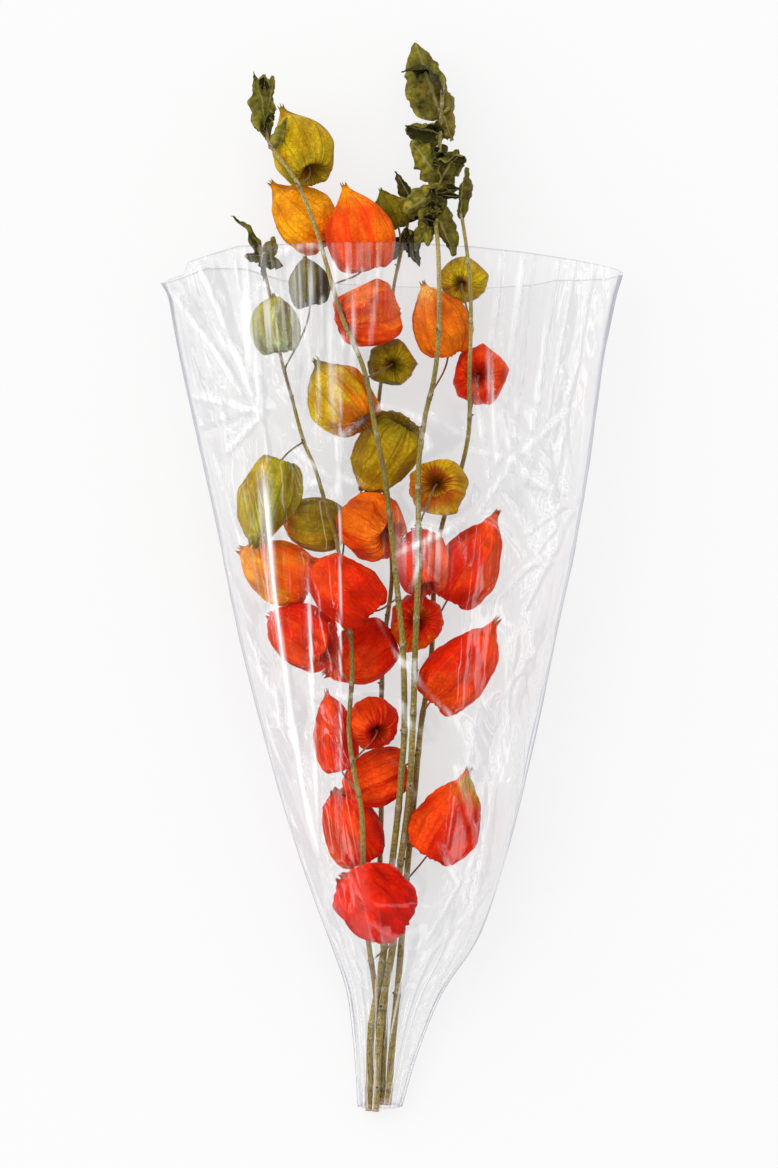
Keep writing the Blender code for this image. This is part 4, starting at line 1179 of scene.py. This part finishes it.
def film_lift(angles, grid):
    """How far the film's pleats, creases and crumples stand off its smooth surface."""
    x, y = grid[..., 0], grid[..., 1]
    none = np.zeros_like(y)
    sine = np.sin(angles)
    share = angles / math.tau
    strip = share * 640.0
    left = smooth_step(10.0, -90.0, x)
    high = smooth_step(20.0, 190.0, y)
    loose = 1 - 0.94 * taut_over_husks(x, y)
    billow = 1.2 * noise(np.stack([share * 13, y / 150, none], -1), 3)
    pleats = 1 - 2 * np.abs(noise(np.stack([share * 62, y / 330, none], -1), 5))
    thin = 1 - 2 * np.abs(noise(np.stack([share * 105, y / 210, none], -1), 6))
    bands = 0.25 + 0.75 * smooth_step(-0.1, 0.5, noise(np.stack([share * 8, y / 110, none], -1), 8))
    long_folds = 0.60 * pleats * (0.12 + 0.30 * left + 0.58 * high) * bands
    long_folds += 0.35 * thin * left * (0.25 + 0.75 * high) * bands
    busy = 0.35 + 0.65 * smooth_step(-0.2, 0.4, noise(np.stack([strip / 60, y / 70, none], -1), 21))
    busy = busy * loose
    crumple = 3.8 * folded((strip + 0.3 * y) / 27, y / 44, 11)
    crumple += 1.7 * folded((strip - 0.5 * y) / 13, y / 22, 14)
    lift = billow + long_folds + crumple * busy
    lift += streaks(x, y, CREASES, False) * (sine > 0)
    low = smooth_step(-190.0, -262.0, y)
    bunch = 1 - 2 * np.abs(noise(np.stack([share * 40, y / 90, none], -1), 31))
    lift = lift * (1 - 0.6 * low) + 0.9 * bunch * low
    near_crease = smooth_step(0.0, 0.22, np.abs(sine))
    lift = lift * (0.15 + 0.85 * near_crease)
    inward = -0.5 * np.abs(lift) * smooth_step(0.0, 1.5, grid[..., 2])
    return np.where(sine < -1e-6, inward, lift)


FILM_CLEAR = np.array((0.998, 0.998, 0.999))
# Grey of the painted dark reflection along the film's folds and the mouth's edge.
FILM_EDGE_PAINTED_GREY = np.array((0.46, 0.46, 0.54))
# Grey of the painted dark reflection on the film's facets that lean one way.
FACET_PAINTED_GREY = np.array((0.110, 0.110, 0.096))
# How white the painted glints along the film's folds are at most.
FOLD_PAINTED_GLINT = 0.34


# Streaks of glare where the film lies folded over itself: start, end, half width and
# strength.
GLARES = (
    ((-84, 74), (-76, -30), 3.2, 0.55), ((-78, 6), (-56, -146), 1.5, 0.60),
    ((-60, -124), (-47, -180), 1.1, 0.60), ((-54, 10), (-47, -174), 0.9, 0.55),
    ((-33, 160), (-33, -170), 0.6, 0.40), ((-40, 180), (-37, 98), 2.6, 0.25),
    ((-47, 150), (-48, 84), 1.2, 0.24), ((-88, 200), (-85, 100), 2.0, 0.34),
    ((-96, 204), (-92, 120), 1.6, 0.30), ((-62, 214), (-60, 140), 2.4, 0.26),
    ((-52, 214), (-53, 120), 1.2, 0.30), ((-22, 214), (-26, 136), 1.4, 0.24),
    ((-8, 214), (-14, 150), 1.2, 0.22), ((62, 150), (66, 76), 1.6, 0.30),
    ((72, -30), (82, -130), 2.4, 0.36), ((4, 17), (44, 35), 1.8, 0.36),
    ((27, 38), (12, -6), 1.3, 0.28), ((60, -176), (20, -236), 1.3, 0.36),
    ((64, -196), (10, -260), 1.1, 0.36),
)


def taut_over_husks(x, y):
    """1 where the film is stretched over a husk, and 0 well away from all of them."""
    taut = np.zeros_like(x)
    for _, middle, _, length, width, *_ in LANTERNS:
        away = np.hypot(x - middle[0], y - middle[1]) / ((length + width) / 4)
        taut = np.maximum(taut, smooth_step(1.35, 0.85, away))
    return taut


def film_detail(angles, grid):
    """How streaky the film is at each point, how strong its painted milky veil is and how white its painted
    glare.
    """
    x, y = grid[..., 0], grid[..., 1]
    front = np.sin(angles) > 0
    left = smooth_step(20.0, -40.0, x)
    streaky = 0.01 + 0.05 * left + 0.06 * smooth_step(60.0, 190.0, y)
    # Painted reflection: a milky veil near the mouth, at one spot on the left and over the flap in the
    # middle.
    top = smooth_step(150.0, 214.0, y) * smooth_step(-110.0, -85.0, x) * smooth_step(60.0, -30.0, x)
    pale = np.exp(-((x + 80) / 20) ** 2 - ((y - 166) / 24) ** 2)
    flap = np.exp(-((x - 22) / 17) ** 2 - ((y - 20) / 15) ** 2)
    milky = (0.05 * top + 0.17 * pale + 0.16 * flap) * front
    return streaky, milky, np.minimum(0.6, streaks(x, y, GLARES, True)) * front


def facet_shades(lift, grid):
    """Painted reflection: how grey each facet of the film is tinted by the way it leans, and how white its
    folds are painted as glints.
    """
    row_gap = np.maximum(0.5, np.linalg.norm(np.gradient(grid, axis=0), axis=-1))
    column_gap = np.maximum(0.5, np.linalg.norm(np.gradient(grid, axis=1), axis=-1))
    along = np.gradient(lift, axis=0) / row_gap
    across = np.gradient(lift, axis=1) / column_gap
    lean = 0.8 * across + 0.6 * along
    bend = np.gradient(across, axis=1) / column_gap + np.gradient(along, axis=0) / row_gap
    for _ in range(2):
        bend[1:-1] = (bend[:-2] + 2 * bend[1:-1] + bend[2:]) / 4
        bend[:, 1:-1] = (bend[:, :-2] + 2 * bend[:, 1:-1] + bend[:, 2:]) / 4
    return smooth_step(0.01, 0.13, lean), FOLD_PAINTED_GLINT * smooth_step(0.015, 0.11, -bend)


def film(name, material, grid, angles):
    """Half of the clear film, with its pleats, pressed creases and crumples."""
    rows, columns = angles.shape
    normals = grid_normals(grid, False)
    if (normals[..., 2].mean() < 0) == (np.sin(angles).mean() > 0):
        normals = -normals
    lift = film_lift(angles, grid)
    facet, fold = facet_shades(lift, grid)
    grid = grid + normals * lift[..., None]
    from_fold = np.abs(np.sin(angles))
    grid[..., 0] += np.sign(np.cos(angles)) * np.exp(-(from_fold / 0.035) ** 2) * SEAM_WIDTH
    grid[..., 2] = np.maximum(grid[..., 2], FILM_LOWEST)
    # Painted dark reflection: the side folds and the cut edge of the mouth are tinted greyer than the rest.
    painted_seam_grey = np.maximum(np.exp(-(from_fold / 0.010) ** 2), np.exp(-((from_fold - 0.054) / 0.009) ** 2))
    painted_seam_grey[-1] = np.maximum(painted_seam_grey[-1], 0.55)
    painted_seam_grey[0] = np.maximum(painted_seam_grey[0], 0.7)
    streaky, milky, glare = film_detail(angles, grid)
    front = np.sin(angles) > 0
    shade = FILM_CLEAR + (FILM_EDGE_PAINTED_GREY - FILM_CLEAR) * painted_seam_grey[..., None]
    # Painted dark reflection on the front's facets that lean one way.
    shade = shade * (1 - (facet * front)[..., None] * FACET_PAINTED_GREY)
    # Painted glints along the ridges of the folds, fainter where the film is stretched over a husk.
    fold = fold * front * (1 - 0.85 * taut_over_husks(grid[..., 0], grid[..., 1]))
    glare = np.maximum(glare, fold)
    tints = {
        "tint": shade.reshape(-1, 3),
        "detail": np.stack([streaky, milky, glare], -1).reshape(-1, 3),
    }
    faces, corners = grid_faces(rows, columns, False)
    made = piece(name, grid.reshape(-1, 3), faces, material, corners, tints)
    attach(made, "root")
    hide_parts("sleeve")


def mirrored_lights(n, over, within, lights):
    """The brightness of one set of narrow lights, from each way's angle over them."""
    total = 0.0
    for angle, half_width, brightness in lights:
        off = n.away(over, math.radians(angle))
        edge = math.radians(half_width)
        total = n.plus(total, n.ramp(off, edge * 0.7, edge * 1.3, brightness, 0.0))
    return n.times(total, within)


def surroundings():
    """An even pale studio. The film mirrors it as a dark ceiling with narrow lights."""
    world = bpy.data.worlds.new("studio")
    n = Nodes(world)
    x, y, z = n.add("SeparateXYZ", {0: n.add("TexCoord").outputs["Generated"]}).outputs
    walls = n.ramp(z, 0.90, 0.50, MIRRORED_CEILING, MIRRORED_WALLS)
    not_far_up = n.ramp(n.math("ABSOLUTE", y), 0.45, 0.85, 1.0, 0.0)
    not_far_out = n.ramp(n.math("ABSOLUTE", x), 0.30, 0.60, 1.0, 0.0)
    across = mirrored_lights(n, n.math("ARCTAN2", x, z), not_far_up, LIGHTS_ACROSS)
    along = mirrored_lights(n, n.math("ARCTAN2", y, z), not_far_out, LIGHTS_ALONG)
    mirrored = n.plus(walls, n.plus(across, along))
    links = {0: n.add("TexCoord").outputs["Generated"], 1: tuple(unit(KEY_WAY))}
    toward = n.add("VectorMath", links, operation="DOT_PRODUCT")
    soft = n.ramp(toward.outputs["Value"], 0.25, 1.0, STUDIO_LIGHT, STUDIO_LIGHT + KEY_LIGHT)
    rays = n.add("LightPath").outputs["Is Glossy Ray"]
    strength = n.add("Mix", {0: rays, 2: soft, 3: mirrored}).outputs[0]
    shine = n.add("Background", {"Strength": strength})
    n.add("OutputWorld", {0: shine.outputs[0]})
    return world


def studio():
    """The table, the studio around it and the camera straight above."""
    mesh = bpy.data.meshes.new("table")
    h = FLOOR_SIZE / 2
    corners = [(x, y, -TABLE_DROP) for x, y in ((-h, -h), (h, -h), (h, h), (-h, h))]
    mesh.from_pydata(corners, [], [(0, 1, 2, 3)])
    mesh.materials.append(floor_material())
    table = bpy.data.objects.new("table", mesh)
    bpy.context.scene.collection.objects.link(table)
    bpy.context.scene.world = surroundings()
    lens = bpy.data.cameras.new("camera")
    lens.sensor_width = 36.0
    lens.lens = CAMERA_LENS
    lens.clip_end = 50.0
    camera = bpy.data.objects.new("camera", lens)
    camera.location = CAMERA_PLACE
    bpy.context.scene.collection.objects.link(camera)
    bpy.context.scene.camera = camera
    scene = bpy.context.scene
    scene.view_settings.view_transform = "Standard"
    scene.cycles.transparent_max_bounces = 24
    scene.cycles.caustics_reflective = False
    scene.cycles.use_denoising = True


studio()
paper = husk_material()
for lantern_row, husk_look in zip(LANTERNS, HUSK_LOOKS):
    husk(lantern_row, husk_look, paper)
bark = bark_material()
foliage = leaf_material()
for stem_name in STEMS:
    stem(stem_name, bark)
    leaves(stem_name, foliage)
clear = film_material()
film("film_front", clear, *film_grid(0.0, FRONT_COLUMNS, FRONT_GAP, FRONT_MOUTH_ROWS))
film("film_back", clear, *film_grid(math.pi, BACK_COLUMNS, BACK_GAP, BACK_MOUTH_ROWS))
